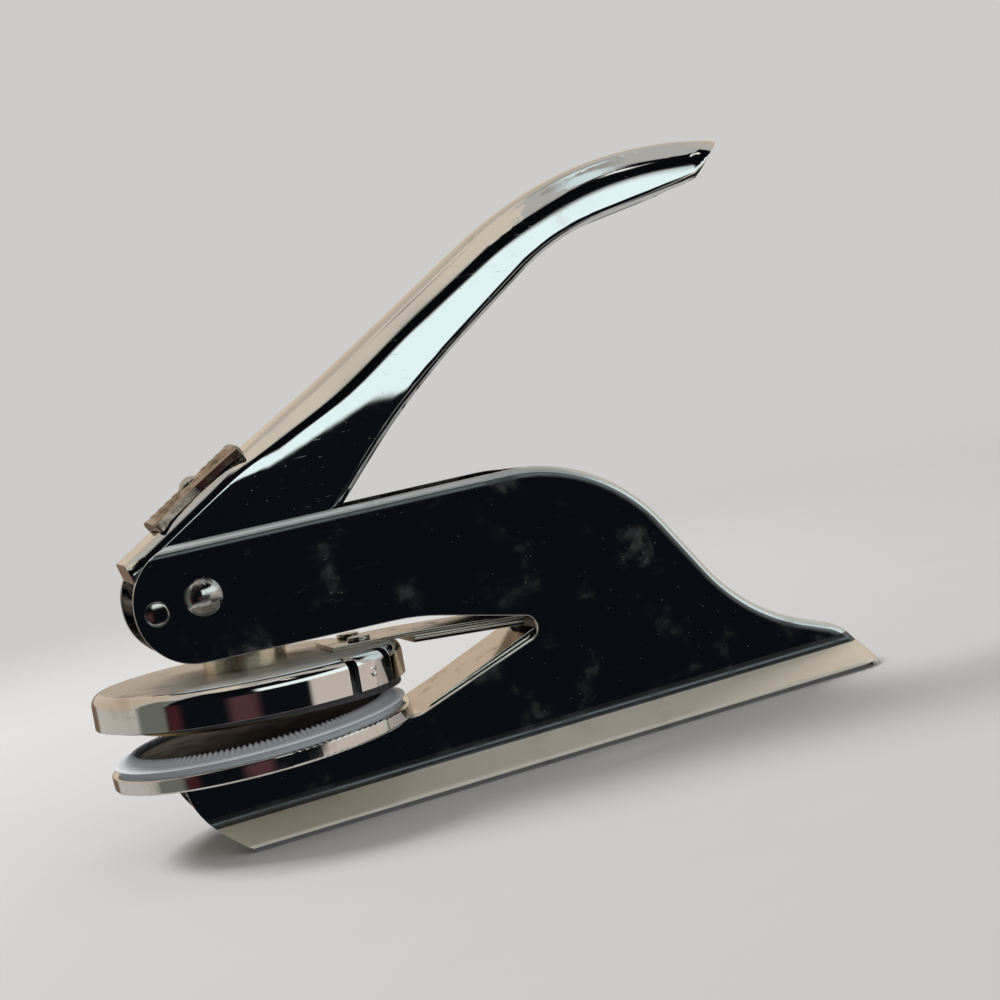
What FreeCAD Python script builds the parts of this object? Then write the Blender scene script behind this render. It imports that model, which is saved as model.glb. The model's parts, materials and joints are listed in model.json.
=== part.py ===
import FreeCAD, Part
import math
import os
import re

import Sketcher

# Hand-held seal embosser, in millimetres. X runs from the nose to the tail, Y from the
# right-hand side plate to the left-hand one, Z up from the surface it stands on. Every body is
# drawn about the die axis, which is moved to its place in the part's frame by die_axis_x.

SIZES = {
    # Frame: one folded sheet, two side plates joined by a web along the back.
    "die_axis_x": -42.27,
    "frame_width": 22.0,
    "frame_sheet": 1.5,
    "frame_corner": 2.0,
    "nose_x": -7.2,
    "nose_z": 42.5,
    "nose_radius": 10.1,
    "shoulder_x": 69.0,
    "shoulder_z": 50.6,
    "shoulder_radius": 32.0,
    "hollow_x": 89.9,
    "hollow_z": 15.2,
    "hollow_radius": 34.0,
    "tail_knee_x": 108.6,
    "tail_knee_z": 7.5,
    "tail_knee_radius": 10.0,
    "tail_x": 111.8,
    "front_step": 0.3,
    "prow_foot_x": -7.4,
    "prow_x": -16.2,
    "prow_z": 7.0,
    "prow_radius": 13.0,
    "seat_z": 13.5,
    "seat_end_inset": 0.5,
    "seat_end_radius": 5.0,
    "throat_x": 56.0,
    "throat_z": 23.3,
    "throat_radius": 2.33,
    "arm_knee_x": 29.5,
    "arm_knee_z": 30.3,
    "arm_knee_radius": 40.0,
    "slot_end_x": 56.5,
    "opening_low_z": 3.0,
    # Flare: the plates' lower edges, turned outward to stand on.
    "fold_z": 4.9,
    "flare_run": 6.6,
    "flare_end_radius": 5.0,
    # Lever: folded sheet, an upside-down channel that turns on the pivot rivet.
    "lever_gap": 0.2,
    "lever_sheet": 1.5,
    "lever_corner": 2.0,
    "pivot_from_nose_x": 1.7,
    "pivot_from_nose_z": 0.3,
    "lip_x": -16.6,
    "lip_z": 50.9,
    "lip_heel_x": -15.0,
    "bend_x": 75.7,
    "bend_z": 104.2,
    "bend_radius": 75.0,
    "tip_x": 109.6,
    "tip_z": 101.2,
    "tip_low_x": 108.9,
    "tip_low_z": 96.4,
    "tip_low_radius": 4.0,
    "tip_heel_x": 103.2,
    "tip_heel_z": 94.1,
    "tip_heel_radius": 8.0,
    "tip_round": 8.0,
    "grip_edge_x": 70.8,
    "grip_edge_z": 88.9,
    "grip_edge_radius": 45.0,
    "shank_edge_x": 38.2,
    "shank_edge_z": 67.6,
    "shank_edge_radius": 150.0,
    "root_low_x": 1.0,
    "root_low_z": -3.8,
    "root_radius": 3.4,
    "lobe_z": -4.0,
    "lobe_radius": 5.2,
    "web_drop": 5.0,
    # Pivot, stop pin and the cam roller inside the lever.
    "shank_radius": 2.0,
    "head_radius": 3.25,
    "head_rise": 1.9,
    "running_gap": 0.05,
    "bush_radius": 3.0,
    "washer_radius": 4.4,
    "washer_thickness": 0.3,
    "stop_from_nose_x": -6.4,
    "stop_from_nose_z": -0.6,
    "stop_radius": 2.0,
    "stop_gap": 0.3,
    "pin_chamfer": 0.25,
    "cam_from_pivot_x": 8.7,
    "cam_from_pivot_z": -4.2,
    "cam_pin_radius": 1.5,
    "cam_pin_proud": 0.1,
    "roller_radius": 5.5,
    "roller_gap": 0.4,
    # Badge across the lever's spine.
    "badge_along": 8.1,
    "badge_length": 19.6,
    "badge_inset": 0.2,
    "badge_waist": 11.6,
    "badge_thickness": 1.3,
    "badge_lift": 0.35,
    "badge_round": 1.0,
    "badge_collar_radius": 2.6,
    "badge_head_radius": 1.9,
    "badge_head_rise": 0.9,
    "badge_shank_radius": 1.1,
    # Lower die: chrome holder, plastic ring, counter die.
    "holder_radius": 26.5,
    "holder_height": 2.6,
    "holder_floor": 1.2,
    "holder_round": 0.4,
    "holder_wall": 1.3,
    "ring_neck_height": 0.8,
    "ring_flange": 0.6,
    "ring_base_height": 0.4,
    "ring_slope_run": 2.2,
    "ring_wall": 3.2,
    "ring_rise": 1.7,
    "counter_height": 2.9,
    "die_fit": 0.2,
    # Upper die, drawn closed: chrome cap, plastic body, die plate.
    "paper_gap": 0.15,
    "cap_radius": 27.1,
    "cap_height": 5.85,
    "cap_sheet": 0.9,
    "cap_round": 3.2,
    "cap_over_ring": 1.0,
    "tab_slot_width": 2.1,
    "tab_near_angle": 38.5,
    "tab_far_angle": 59.0,
    "tab_slot_reach": 3.3,
    "skirt_wall": 0.75,
    "skirt_drop_back": 1.6,
    "skirt_drop_front": 0.2,
    "body_fit": 0.1,
    "body_bevel": 3.0,
    "body_clear": 1.3,
    "die_margin": 1.7,
    "die_seat": 0.6,
    # Plunger boss that the roller bears on.
    "boss_side_gap": 2.2,
    "boss_round": 0.4,
    "press_gap": 0.42,
    "stud_radius": 2.5,
    "stud_head_radius": 4.2,
    "stud_head_height": 1.0,
    "stud_reach": 2.6,
    # Spring leaves and the root of the throat.
    "hinge_x": 49.5,
    "hinge_z": 24.6,
    "open_angle": 3.64,
    "leaf_side_gap": 1.5,
    "leaf_thickness": 0.8,
    "leaf_overhang": 5.5,
    "leaf_bend_gap": 0.9,
    "leaf_root_gap": 0.5,
    "backing_thickness": 1.3,
    "backing_gap": 1.5,
    "leaf_rivet_inset": 7.6,
    "leaf_rivet_y": 4.5,
    "leaf_rivet_radius": 1.2,
    "leaf_rivet_head": 2.0,
    "leaf_rivet_rise": 0.7,
    "anchor_length": 6.5,
    "anchor_height": 9.0,
    "anchor_gap": 0.7,
    "tongue_side_gap": 0.7,
    "tongue_thickness": 1.2,
    "tongue_front_x": -12.0,
    "tongue_step_gap": 0.8,
    "tongue_step_run": 1.4,
    "holder_rivet_x": 8.0,
    "holder_rivet_radius": 1.5,
    "holder_rivet_head": 2.6,
    "holder_rivet_rise": 0.8,
}

PARTS = "parts"

document = FreeCAD.newDocument("seal_embosser")
sheet = document.addObject("Spreadsheet::Sheet", "sizes")
for row, (alias, value) in enumerate(SIZES.items(), start=1):
    sheet.set(f"A{row}", alias)
    sheet.set(f"B{row}", str(value))
    sheet.setAlias(f"B{row}", alias)
document.recompute()

SIDE, TOP = "XZ_Plane", "XY_Plane"
SHAPES = {}

# Places that several sub-parts share, as expressions of the sheet's sizes.
PIVOT_X = "(nose_x + pivot_from_nose_x)"
PIVOT_Z = "(nose_z + pivot_from_nose_z)"
STOP_X = "(nose_x + stop_from_nose_x)"
STOP_Z = "(nose_z + stop_from_nose_z)"
CAM_X = f"({PIVOT_X} + cam_from_pivot_x)"
CAM_Z = f"({PIVOT_Z} + cam_from_pivot_z)"
FRAME_INNER = "(frame_width - 2 * frame_sheet)"
LEVER_WIDTH = f"({FRAME_INNER} - 2 * (washer_thickness + lever_gap))"
LEVER_INNER = f"({LEVER_WIDTH} - 2 * lever_sheet)"
FLOOR_Z = "(seat_z + holder_floor)"
HOLDER_TOP_Z = "(seat_z + holder_height)"
RING_BASE_Z = f"({HOLDER_TOP_Z} + ring_neck_height)"
RING_TOP_Z = f"({RING_BASE_Z} + ring_rise)"
COUNTER_TOP_Z = f"({FLOOR_Z} + counter_height)"
CAP_RIM_Z = f"({RING_TOP_Z} + cap_over_ring)"
CAP_TOP_Z = f"({CAP_RIM_Z} + cap_height)"
CAP_CEILING_Z = f"({CAP_TOP_Z} - cap_sheet)"
BODY_FACE_Z = f"({RING_TOP_Z} + body_clear)"
DIE_FACE_Z = f"({COUNTER_TOP_Z} + paper_gap)"
OPEN_RISE = f"((hinge_x - {CAM_X}) * tan(open_angle * 1deg))"
SEAT_END_X = "(holder_radius - seat_end_inset)"
RING_NECK_RADIUS = "(holder_radius - holder_wall)"
RING_BASE_RADIUS = f"({RING_NECK_RADIUS} + ring_flange)"
RING_TOP_RADIUS = f"({RING_BASE_RADIUS} - ring_slope_run)"
RING_BORE_RADIUS = f"({RING_NECK_RADIUS} - ring_wall)"
DIE_RADIUS = f"({RING_BORE_RADIUS} - die_margin)"
TONGUE_STEP_X = "(holder_radius + tongue_step_gap)"
BOSS_TOP_Z = f"({CAM_Z} - roller_radius - press_gap - {OPEN_RISE})"
BOSS_RADIUS = f"({FRAME_INNER} / 2 - boss_side_gap)"
LEAF_WIDTH = f"({FRAME_INNER} - 2 * leaf_side_gap)"
LEAF_RIVET_X = "(cap_radius - leaf_rivet_inset)"
BEND_X = "(cap_radius + leaf_bend_gap)"
ROOT_X = "(hinge_x - leaf_root_gap)"
TONGUE_Z = "(seat_z - tongue_thickness)"
ANCHOR_X = "(hinge_x + anchor_gap)"
LEVER_TURN = "atan((bend_z - lip_z) / (bend_x - lip_x))"
BADGE_X = f"(lip_x + (badge_along + badge_length / 2) * cos({LEVER_TURN}))"
BADGE_Z = f"(lip_z + (badge_along + badge_length / 2) * sin({LEVER_TURN}))"
ACROSS = "vector(1; 0; 0)"


def bound(expression):
    """Name the sheet in front of every size: each alias has an underscore in it."""
    return re.sub(r"\b([a-z]+(?:_[a-z]+)+)\b", r"sizes.\1", expression)


def number(owner, expression):
    """Value of an expression of the sheet's sizes."""
    result = owner.evalExpression(bound(expression))
    return float(getattr(result, "Value", result))


def tie(owner, property_name, expression):
    owner.setExpression(property_name, bound(expression))


def new_body(label, opens=False, x="0", z="0", axis="vector(0; 1; 0)", turn="0", solids=1):
    """Body drawn about the die axis, or about a point of its own with an axis to turn about.

    One that opens belongs to the upper die, and is turned up about the hinge in the throat.
    """
    body = document.addObject("PartDesign::Body", label)
    body.Label = label
    body.AllowCompound = solids > 1
    swing = "open_angle" if opens else "0"
    hinge = "vector(hinge_x; 0; hinge_z)"
    whole = f"placement(vector(die_axis_x; 0; 0); rotation(vector(0; 1; 0); {swing}); {hinge})"
    own = f"placement(vector({x}; 0; {z}); rotation({axis}; {turn}))"
    tie(body, "Placement", f"{whole} * {own}")
    SHAPES[label] = (body, solids)
    return body


def new_sketch(body, role, lift=None, turn=None):
    """Sketch on an origin plane, lifted off it or turned about its normal where asked."""
    sketch = body.newObject("Sketcher::SketchObject", f"{body.Name}_sketch")
    plane = [item for item in body.Origin.OriginFeatures if item.Role == role][0]
    sketch.AttachmentSupport = (plane, [""])
    sketch.MapMode = "FlatFace"
    if turn is not None:
        upright = FreeCAD.Rotation(FreeCAD.Vector(0, 0, 1), 1)
        sketch.AttachmentOffset = FreeCAD.Placement(FreeCAD.Vector(0, 0, 0), upright)
        tie(sketch, "AttachmentOffset.Rotation.Angle", turn)
    if lift is not None:
        tie(sketch, "AttachmentOffset.Base.z", lift)
    return sketch


def place_point(sketch, index, position, x, y):
    """Hold one point of a sketch at two expressions."""
    for kind, expression in (("DistanceX", x), ("DistanceY", y)):
        value = number(sketch, expression)
        which = sketch.addConstraint(Sketcher.Constraint(kind, -1, 1, index, position, value))
        tie(sketch, f"Constraints[{which}]", expression)


def round_corner(before, corner, after, radius):
    """Tangent points and centre of an arc that rounds a corner."""
    back = (before - corner).normalize()
    on = (after - corner).normalize()
    half = back.getAngle(on) / 2
    run = radius / math.tan(half)
    middle = (back + on).normalize() * (radius / math.sin(half))
    return corner + back * run, corner + on * run, corner + middle


def outline(sketch, corners):
    """Closed outline through corners (x, y) or, rounded by a tangent arc, (x, y, radius)."""
    count = len(corners)
    points = [FreeCAD.Vector(number(sketch, c[0]), number(sketch, c[1]), 0) for c in corners]
    entry = list(points)
    leave = list(points)
    arcs = {}
    for i, corner in enumerate(corners):
        if len(corner) == 3:
            radius = number(sketch, corner[2])
            around = (points[i - 1], points[i], points[(i + 1) % count])
            entry[i], leave[i], centre = round_corner(*around, radius)
            arcs[i] = (centre, radius)
    for i in range(count):
        sketch.addGeometry(Part.LineSegment(leave[i], entry[(i + 1) % count]), False)
    for i, corner in enumerate(corners):
        last = (i - 1) % count
        if i not in arcs:
            sketch.addConstraint(Sketcher.Constraint("Coincident", last, 2, i, 1))
            place_point(sketch, i, 1, corner[0], corner[1])
            continue
        centre, radius = arcs[i]
        start = entry[i] - centre
        end = leave[i] - centre
        left_turn = start.cross(end).z > 0
        angles = [math.atan2(start.y, start.x), math.atan2(end.y, end.x)]
        if not left_turn:
            angles.reverse()
        circle = Part.Circle(centre, FreeCAD.Vector(0, 0, 1), radius)
        arc = sketch.addGeometry(Part.ArcOfCircle(circle, *angles), False)
        first, second = (1, 2) if left_turn else (2, 1)
        sketch.addConstraint(Sketcher.Constraint("Tangent", last, 2, arc, first))
        sketch.addConstraint(Sketcher.Constraint("Tangent", arc, second, i, 1))
        which = sketch.addConstraint(Sketcher.Constraint("Radius", arc, radius))
        tie(sketch, f"Constraints[{which}]", corner[2])
        mark = sketch.addGeometry(Part.Point(points[i]), True)
        place_point(sketch, mark, 1, corner[0], corner[1])
        sketch.addConstraint(Sketcher.Constraint("PointOnObject", mark, 1, last))
        sketch.addConstraint(Sketcher.Constraint("PointOnObject", mark, 1, i))


def circle(sketch, x, y, radius):
    """Circle of a sketch with its centre and radius held by expressions."""
    centre = FreeCAD.Vector(number(sketch, x), number(sketch, y), 0)
    shape = Part.Circle(centre, FreeCAD.Vector(0, 0, 1), number(sketch, radius))
    index = sketch.addGeometry(shape, False)
    place_point(sketch, index, 3, x, y)
    which = sketch.addConstraint(Sketcher.Constraint("Radius", index, number(sketch, radius)))
    tie(sketch, f"Constraints[{which}]", radius)


def rectangle(sketch, low_x, low_y, high_x, high_y):
    outline(sketch, [(low_x, low_y), (low_x, high_y), (high_x, high_y), (high_x, low_y)])


def pad(body, sketch, length, midplane=True):
    """Solid of a sketch, to both sides of its plane or along its normal."""
    feature = body.newObject("PartDesign::Pad", f"{body.Name}_pad")
    feature.Profile = sketch
    feature.Midplane = midplane
    tie(feature, "Length", length)
    return checked(body, feature, grows=True)


def pocket(body, sketch, length=None):
    """Cut of a sketch to both sides of its plane, right through where no length is given."""
    feature = body.newObject("PartDesign::Pocket", f"{body.Name}_pocket")
    feature.Profile = sketch
    feature.Midplane = True
    if length is None:
        feature.Type = "ThroughAll"
    else:
        tie(feature, "Length", length)
    return checked(body, feature, grows=False)


def turned(body, corners):
    """Solid of revolution about the body's Z axis from an outline of (radius, height)."""
    sketch = new_sketch(body, SIDE)
    outline(sketch, corners)
    feature = body.newObject("PartDesign::Revolution", f"{body.Name}_turned")
    feature.Profile = sketch
    feature.ReferenceAxis = (sketch, ["V_Axis"])
    feature.Angle = 360
    return checked(body, feature, grows=True)


def loft(body, kind, low, high):
    """Ruled loft between two sketches, added or taken away."""
    feature = body.newObject(f"PartDesign::{kind}", f"{body.Name}_loft")
    feature.Profile = low
    feature.Sections = [high]
    feature.Ruled = True
    return checked(body, feature, grows=kind == "AdditiveLoft")


def fillet(body, feature, wanted, radius):
    """Round the edges of the last feature that the test picks."""
    rounded = body.newObject("PartDesign::Fillet", f"{body.Name}_fillet")
    rounded.Base = (feature, picked(feature.Shape, wanted))
    tie(rounded, "Radius", radius)
    return checked(body, rounded, grows=None)


def checked(body, feature, grows):
    """Recompute, and stop where a feature changed the volume the wrong way."""
    steps = [item for item in body.Group if item.isDerivedFrom("PartDesign::Feature")]
    before = steps[-2].Shape.Volume if len(steps) > 1 else 0.0
    document.recompute()
    volume = feature.Shape.Volume
    if grows is True and volume <= before:
        raise RuntimeError(f"{feature.Name} added nothing")
    if grows is False and volume >= before:
        raise RuntimeError(f"{feature.Name} cut nothing")
    return feature


def picked(shape, wanted):
    """Names of the edges that a test picks."""
    return [f"Edge{i}" for i, edge in enumerate(shape.Edges, start=1) if wanted(edge)]


def on_sides(edge, half_width):
    """True where an edge lies in one of the two outer side planes."""
    box = edge.BoundBox
    flat = abs(box.YMax - box.YMin) < 1e-4
    return flat and abs(abs(box.YMin) - half_width) < 1e-4


def middle_of(edge):
    return edge.valueAt((edge.FirstParameter + edge.LastParameter) / 2)


def shrunk(body, sketch, inset):
    """The same outline, moved inward by the sheet's thickness."""
    binder = body.newObject("PartDesign::SubShapeBinder", f"{body.Name}_inset")
    binder.Support = [(sketch, ("",))]
    binder.OffsetIntersection = True
    tie(binder, "Offset", f"-{inset}")
    document.recompute()
    return binder


def flare_section(body, lift, half_width, end_x, end_radius):
    """Level section of the flare, with rounded corners at the tail."""
    sketch = new_sketch(body, TOP, lift=lift)
    start_x = "prow_x - nose_radius"
    outline(sketch, [
        (start_x, half_width),
        (end_x, half_width, end_radius),
        (end_x, f"-({half_width})", end_radius),
        (start_x, f"-({half_width})"),
    ])
    return sketch


def make_frame_channel():
    body = new_body("frame_channel")
    ahead_x = "prow_x - nose_radius"
    clear_x = f"{ahead_x} - nose_radius"
    top_z = "nose_z + nose_radius + front_step"
    block_side = new_sketch(body, SIDE)
    outline(block_side, [
        (ahead_x, top_z),
        ("shoulder_x", "shoulder_z", "shoulder_radius"),
        ("hollow_x", "hollow_z", "hollow_radius"),
        ("tail_knee_x", "tail_knee_z", "tail_knee_radius"),
        ("tail_x", "0"),
        (ahead_x, "0"),
    ])
    block = pad(body, block_side, "frame_width")
    half = number(body, "frame_width / 2")
    front = number(body, ahead_x)

    def along_back(edge):
        spot = middle_of(edge)
        return on_sides(edge, half) and spot.z > 1e-3 and spot.x > front + 1e-3

    fillet(body, block, along_back, "frame_corner")

    # The flare leaves the plates at the fold and wraps round the tail.
    tail_slope = "(tail_x - tail_knee_x) / tail_knee_z"
    fold_tail_x = f"tail_x - fold_z * {tail_slope}"
    foot_half = "frame_width / 2 + flare_run"
    low = flare_section(body, "0", foot_half, "tail_x", "flare_end_radius")
    high = flare_section(body, "fold_z", "frame_width / 2", fold_tail_x, "frame_corner")
    loft(body, "AdditiveLoft", low, high)

    # Inside of the channel, one sheet in from the back.
    pocket(body, shrunk(body, block_side, "frame_sheet"), FRAME_INNER)

    # Nose, throat and prow, cut across both plates; the prow's sweep takes the flare too.
    throat = new_sketch(body, SIDE)
    outline(throat, [
        (clear_x, f"{top_z} + nose_radius"),
        ("nose_x + front_step", f"{top_z} + nose_radius"),
        ("nose_x + front_step", "nose_z + nose_radius"),
        ("nose_x - nose_radius", "nose_z + nose_radius", "nose_radius"),
        ("nose_x - nose_radius", "nose_z - nose_radius", "nose_radius"),
        ("arm_knee_x", "arm_knee_z", "arm_knee_radius"),
        ("throat_x", "throat_z", "throat_radius"),
        (SEAT_END_X, "seat_z", "seat_end_radius"),
        ("prow_x", "seat_z"),
        ("prow_x", "prow_z", "prow_radius"),
        ("prow_foot_x", "0"),
        ("prow_foot_x + frame_corner", "-frame_corner"),
        (clear_x, "-frame_corner"),
    ])
    pocket(body, throat)

    # Slot of the lever, and the open front between the plates.
    opening = new_sketch(body, SIDE)
    rectangle(opening, ahead_x, "opening_low_z", "slot_end_x", "shoulder_z + nose_radius")
    pocket(body, opening, FRAME_INNER)

    # Inside of the flare, one sheet in from its outer faces.
    side_wall = "frame_sheet * sqrt(flare_run ^ 2 + fold_z ^ 2) / fold_z"
    tail_wall = f"frame_sheet * sqrt(1 + ({tail_slope}) ^ 2)"
    low = flare_section(body, "0", f"{foot_half} - {side_wall}", f"tail_x - {tail_wall}",
                        "flare_end_radius - frame_sheet")
    high = flare_section(body, "fold_z", f"frame_width / 2 - {side_wall}",
                         f"{fold_tail_x} - {tail_wall}", "frame_corner - frame_sheet")
    loft(body, "SubtractiveLoft", low, high)

    holes = new_sketch(body, SIDE)
    circle(holes, PIVOT_X, PIVOT_Z, "shank_radius")
    circle(holes, STOP_X, STOP_Z, "stop_radius")
    pocket(body, holes)


def lever_outline(sketch, tip):
    """Lever seen from the side, with the corners of its tip given."""
    heel_z = f"{STOP_Z} + stop_radius + stop_gap"
    outline(sketch, [
        ("lip_x", "lip_z"),
        ("bend_x", "bend_z", "bend_radius"),
        *tip,
        ("grip_edge_x", "grip_edge_z", "grip_edge_radius"),
        ("shank_edge_x", "shank_edge_z", "shank_edge_radius"),
        (f"{CAM_X} + root_low_x", f"{CAM_Z} + root_low_z", "root_radius"),
        (f"{PIVOT_X} - lobe_radius", f"{PIVOT_Z} + lobe_z", "lobe_radius"),
        (f"{PIVOT_X} - lobe_radius", heel_z),
        ("lip_heel_x", heel_z),
    ])


def make_lever_channel():
    body = new_body("lever_channel")
    side = new_sketch(body, SIDE)
    lever_outline(side, [
        ("tip_x", "tip_z"),
        ("tip_low_x", "tip_low_z", "tip_low_radius"),
        ("tip_heel_x", "tip_heel_z", "tip_heel_radius"),
    ])
    block = pad(body, side, LEVER_WIDTH)
    half = number(body, f"{LEVER_WIDTH} / 2")
    lip = FreeCAD.Vector(number(body, "lip_x"), 0, number(body, "lip_z"))
    slope = math.tan(math.radians(number(body, LEVER_TURN)))
    grip_z = number(body, "(grip_edge_z + tip_z) / 2 + lever_corner")

    def along_spine(edge):
        spot = middle_of(edge)
        over = spot.z > min(lip.z + slope * (spot.x - lip.x) - 1e-3, grip_z)
        return on_sides(edge, half) and over

    fillet(body, block, along_spine, "lever_corner")

    # The tip is rounded in plan.
    beside = f"{LEVER_WIDTH} / 2 + tip_round"
    round_tip = new_sketch(body, TOP)
    outline(round_tip, [
        ("bend_x", beside),
        ("tip_x + tip_round", beside),
        ("tip_x + tip_round", f"-({beside})"),
        ("bend_x", f"-({beside})"),
        ("bend_x", f"-{LEVER_WIDTH} / 2"),
        ("tip_x", f"-{LEVER_WIDTH} / 2", "tip_round"),
        ("tip_x", f"{LEVER_WIDTH} / 2", "tip_round"),
        ("bend_x", f"{LEVER_WIDTH} / 2"),
    ])
    pocket(body, round_tip)

    # Inside of the channel: full width up to the tip's rounding, narrower within it.
    fall = "(bend_z - tip_z) / (tip_x - bend_x)"
    inside = new_sketch(body, SIDE)
    lever_outline(inside, [
        ("tip_heel_x", f"tip_z + (tip_x - tip_heel_x) * {fall}"),
        ("tip_heel_x", "tip_heel_z"),
    ])
    pocket(body, shrunk(body, inside, "lever_sheet"), LEVER_INNER)
    pocket(body, shrunk(body, side, "lever_sheet"), f"{LEVER_INNER} - tip_round")

    # Only the spine has a web: what is more than web_drop under it is open.
    under = new_sketch(body, SIDE)
    reach = LEVER_WIDTH
    outline(under, [
        (f"lip_x - {reach}", f"lip_z - {reach} * tan({LEVER_TURN}) - web_drop"),
        ("bend_x", "bend_z - 2 * web_drop"),
        (f"tip_x + {reach}", "tip_z - web_drop"),
        (f"tip_x + {reach}", f"{CAM_Z} - {reach}"),
        (f"lip_x - {reach}", f"{CAM_Z} - {reach}"),
    ])
    pocket(body, under, LEVER_INNER)

    holes = new_sketch(body, SIDE)
    circle(holes, PIVOT_X, PIVOT_Z, "shank_radius + running_gap")
    circle(holes, CAM_X, CAM_Z, "cam_pin_radius")
    pocket(body, holes)
    rivet_hole = new_sketch(body, TOP)
    lean = FreeCAD.Rotation(FreeCAD.Vector(0, -1, 0), 1)
    rivet_hole.AttachmentOffset = FreeCAD.Placement(FreeCAD.Vector(0, 0, 0), lean)
    tie(rivet_hole, "AttachmentOffset.Base.x", BADGE_X)
    tie(rivet_hole, "AttachmentOffset.Base.z", BADGE_Z)
    tie(rivet_hole, "AttachmentOffset.Rotation.Angle", LEVER_TURN)
    circle(rivet_hole, "0", "0", "badge_shank_radius")
    pocket(body, rivet_hole)


def cross_pin(label, x, z, radius, length, chamfer=None):
    """Plain round pin across the part."""
    body = new_body(label)
    sketch = new_sketch(body, SIDE)
    circle(sketch, x, z, radius)
    feature = pad(body, sketch, length)
    if chamfer is not None:
        eased = body.newObject("PartDesign::Chamfer", f"{label}_chamfer")
        round_edges = picked(feature.Shape, lambda edge: isinstance(edge.Curve, Part.Circle))
        eased.Base = (feature, round_edges)
        tie(eased, "Size", chamfer)
        checked(body, eased, grows=False)


def cross_tube(label, x, z, outer, bore, length):
    """Round tube across the part."""
    body = new_body(label)
    sketch = new_sketch(body, SIDE)
    circle(sketch, x, z, outer)
    circle(sketch, x, z, bore)
    pad(body, sketch, length)


def make_pivot_rivet():
    """Shank through plates and lever, with a domed head on each outer face."""
    body = new_body("lever_pivot_rivet", x=PIVOT_X, z=PIVOT_Z, axis=ACROSS, turn="90")
    face = "frame_width / 2"
    crown = f"{face} + head_rise"
    dome = "head_rise - pin_chamfer"
    turned(body, [
        ("0", crown),
        ("head_radius", crown, dome),
        ("head_radius", face),
        ("shank_radius", face),
        ("shank_radius", f"-{face}"),
        ("head_radius", f"-{face}"),
        ("head_radius", f"-({crown})", dome),
        ("0", f"-({crown})"),
    ])


def make_pivot_washers():
    """One thin washer against each side plate."""
    body = new_body("pivot_washers", solids=2)
    for side in ("", "-"):
        sketch = new_sketch(body, SIDE, lift=f"{side}({FRAME_INNER} / 2 - washer_thickness / 2)")
        circle(sketch, PIVOT_X, PIVOT_Z, "washer_radius")
        circle(sketch, PIVOT_X, PIVOT_Z, "shank_radius")
        pad(body, sketch, "washer_thickness")


def make_badge():
    """Waisted plate that stands just off the spine, and the rivet that holds it there."""
    place = {"x": BADGE_X, "z": BADGE_Z, "turn": f"-{LEVER_TURN}"}
    plate = new_body("badge_plate", **place)
    plan = new_sketch(plate, TOP, lift="badge_lift")
    end, wide, waist = "badge_length / 2", f"({LEVER_WIDTH} / 2 - badge_inset)", "badge_waist / 2"
    outline(plan, [
        (end, wide, "badge_round"),
        (end, f"-{wide}", "badge_round"),
        ("0", f"-{waist}", "badge_length"),
        (f"-{end}", f"-{wide}", "badge_round"),
        (f"-{end}", wide, "badge_round"),
        ("0", waist, "badge_length"),
    ])
    pad(plate, plan, "badge_thickness", midplane=False)
    hole = new_sketch(plate, TOP)
    circle(hole, "0", "0", "badge_shank_radius")
    pocket(plate, hole)

    rivet = new_body("badge_rivet", **place)
    top = "badge_lift + badge_thickness"
    turned(rivet, [
        ("0", f"{top} + badge_head_rise"),
        ("badge_head_radius", f"{top} + badge_head_rise", "badge_head_rise / 2"),
        ("badge_head_radius", top),
        ("badge_shank_radius", top),
        ("badge_shank_radius", "badge_lift"),
        ("badge_collar_radius", "badge_lift"),
        ("badge_collar_radius", "0"),
        ("badge_shank_radius", "0"),
        ("badge_shank_radius", "-lever_sheet"),
        ("badge_head_radius", "-lever_sheet"),
        ("badge_head_radius", "-lever_sheet - badge_head_rise / 2"),
        ("0", "-lever_sheet - badge_head_rise / 2"),
    ])


def round_group(body, places, radius, low, high):
    """Upright cylinders at several places, from one height to another."""
    sketch = new_sketch(body, TOP, lift=low)
    for x, y in places:
        circle(sketch, x, y, radius)
    pad(body, sketch, f"{high} - ({low})", midplane=False)


def drill(body, places, radius):
    """Upright holes right through a body."""
    sketch = new_sketch(body, TOP)
    for x, y in places:
        circle(sketch, x, y, radius)
    pocket(body, sketch)


HOLDER_RIVETS = [("holder_rivet_x", "0"), ("-holder_rivet_x", "0")]
LEAF_RIVETS = [(LEAF_RIVET_X, "leaf_rivet_y"), (LEAF_RIVET_X, "-leaf_rivet_y")]


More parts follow.
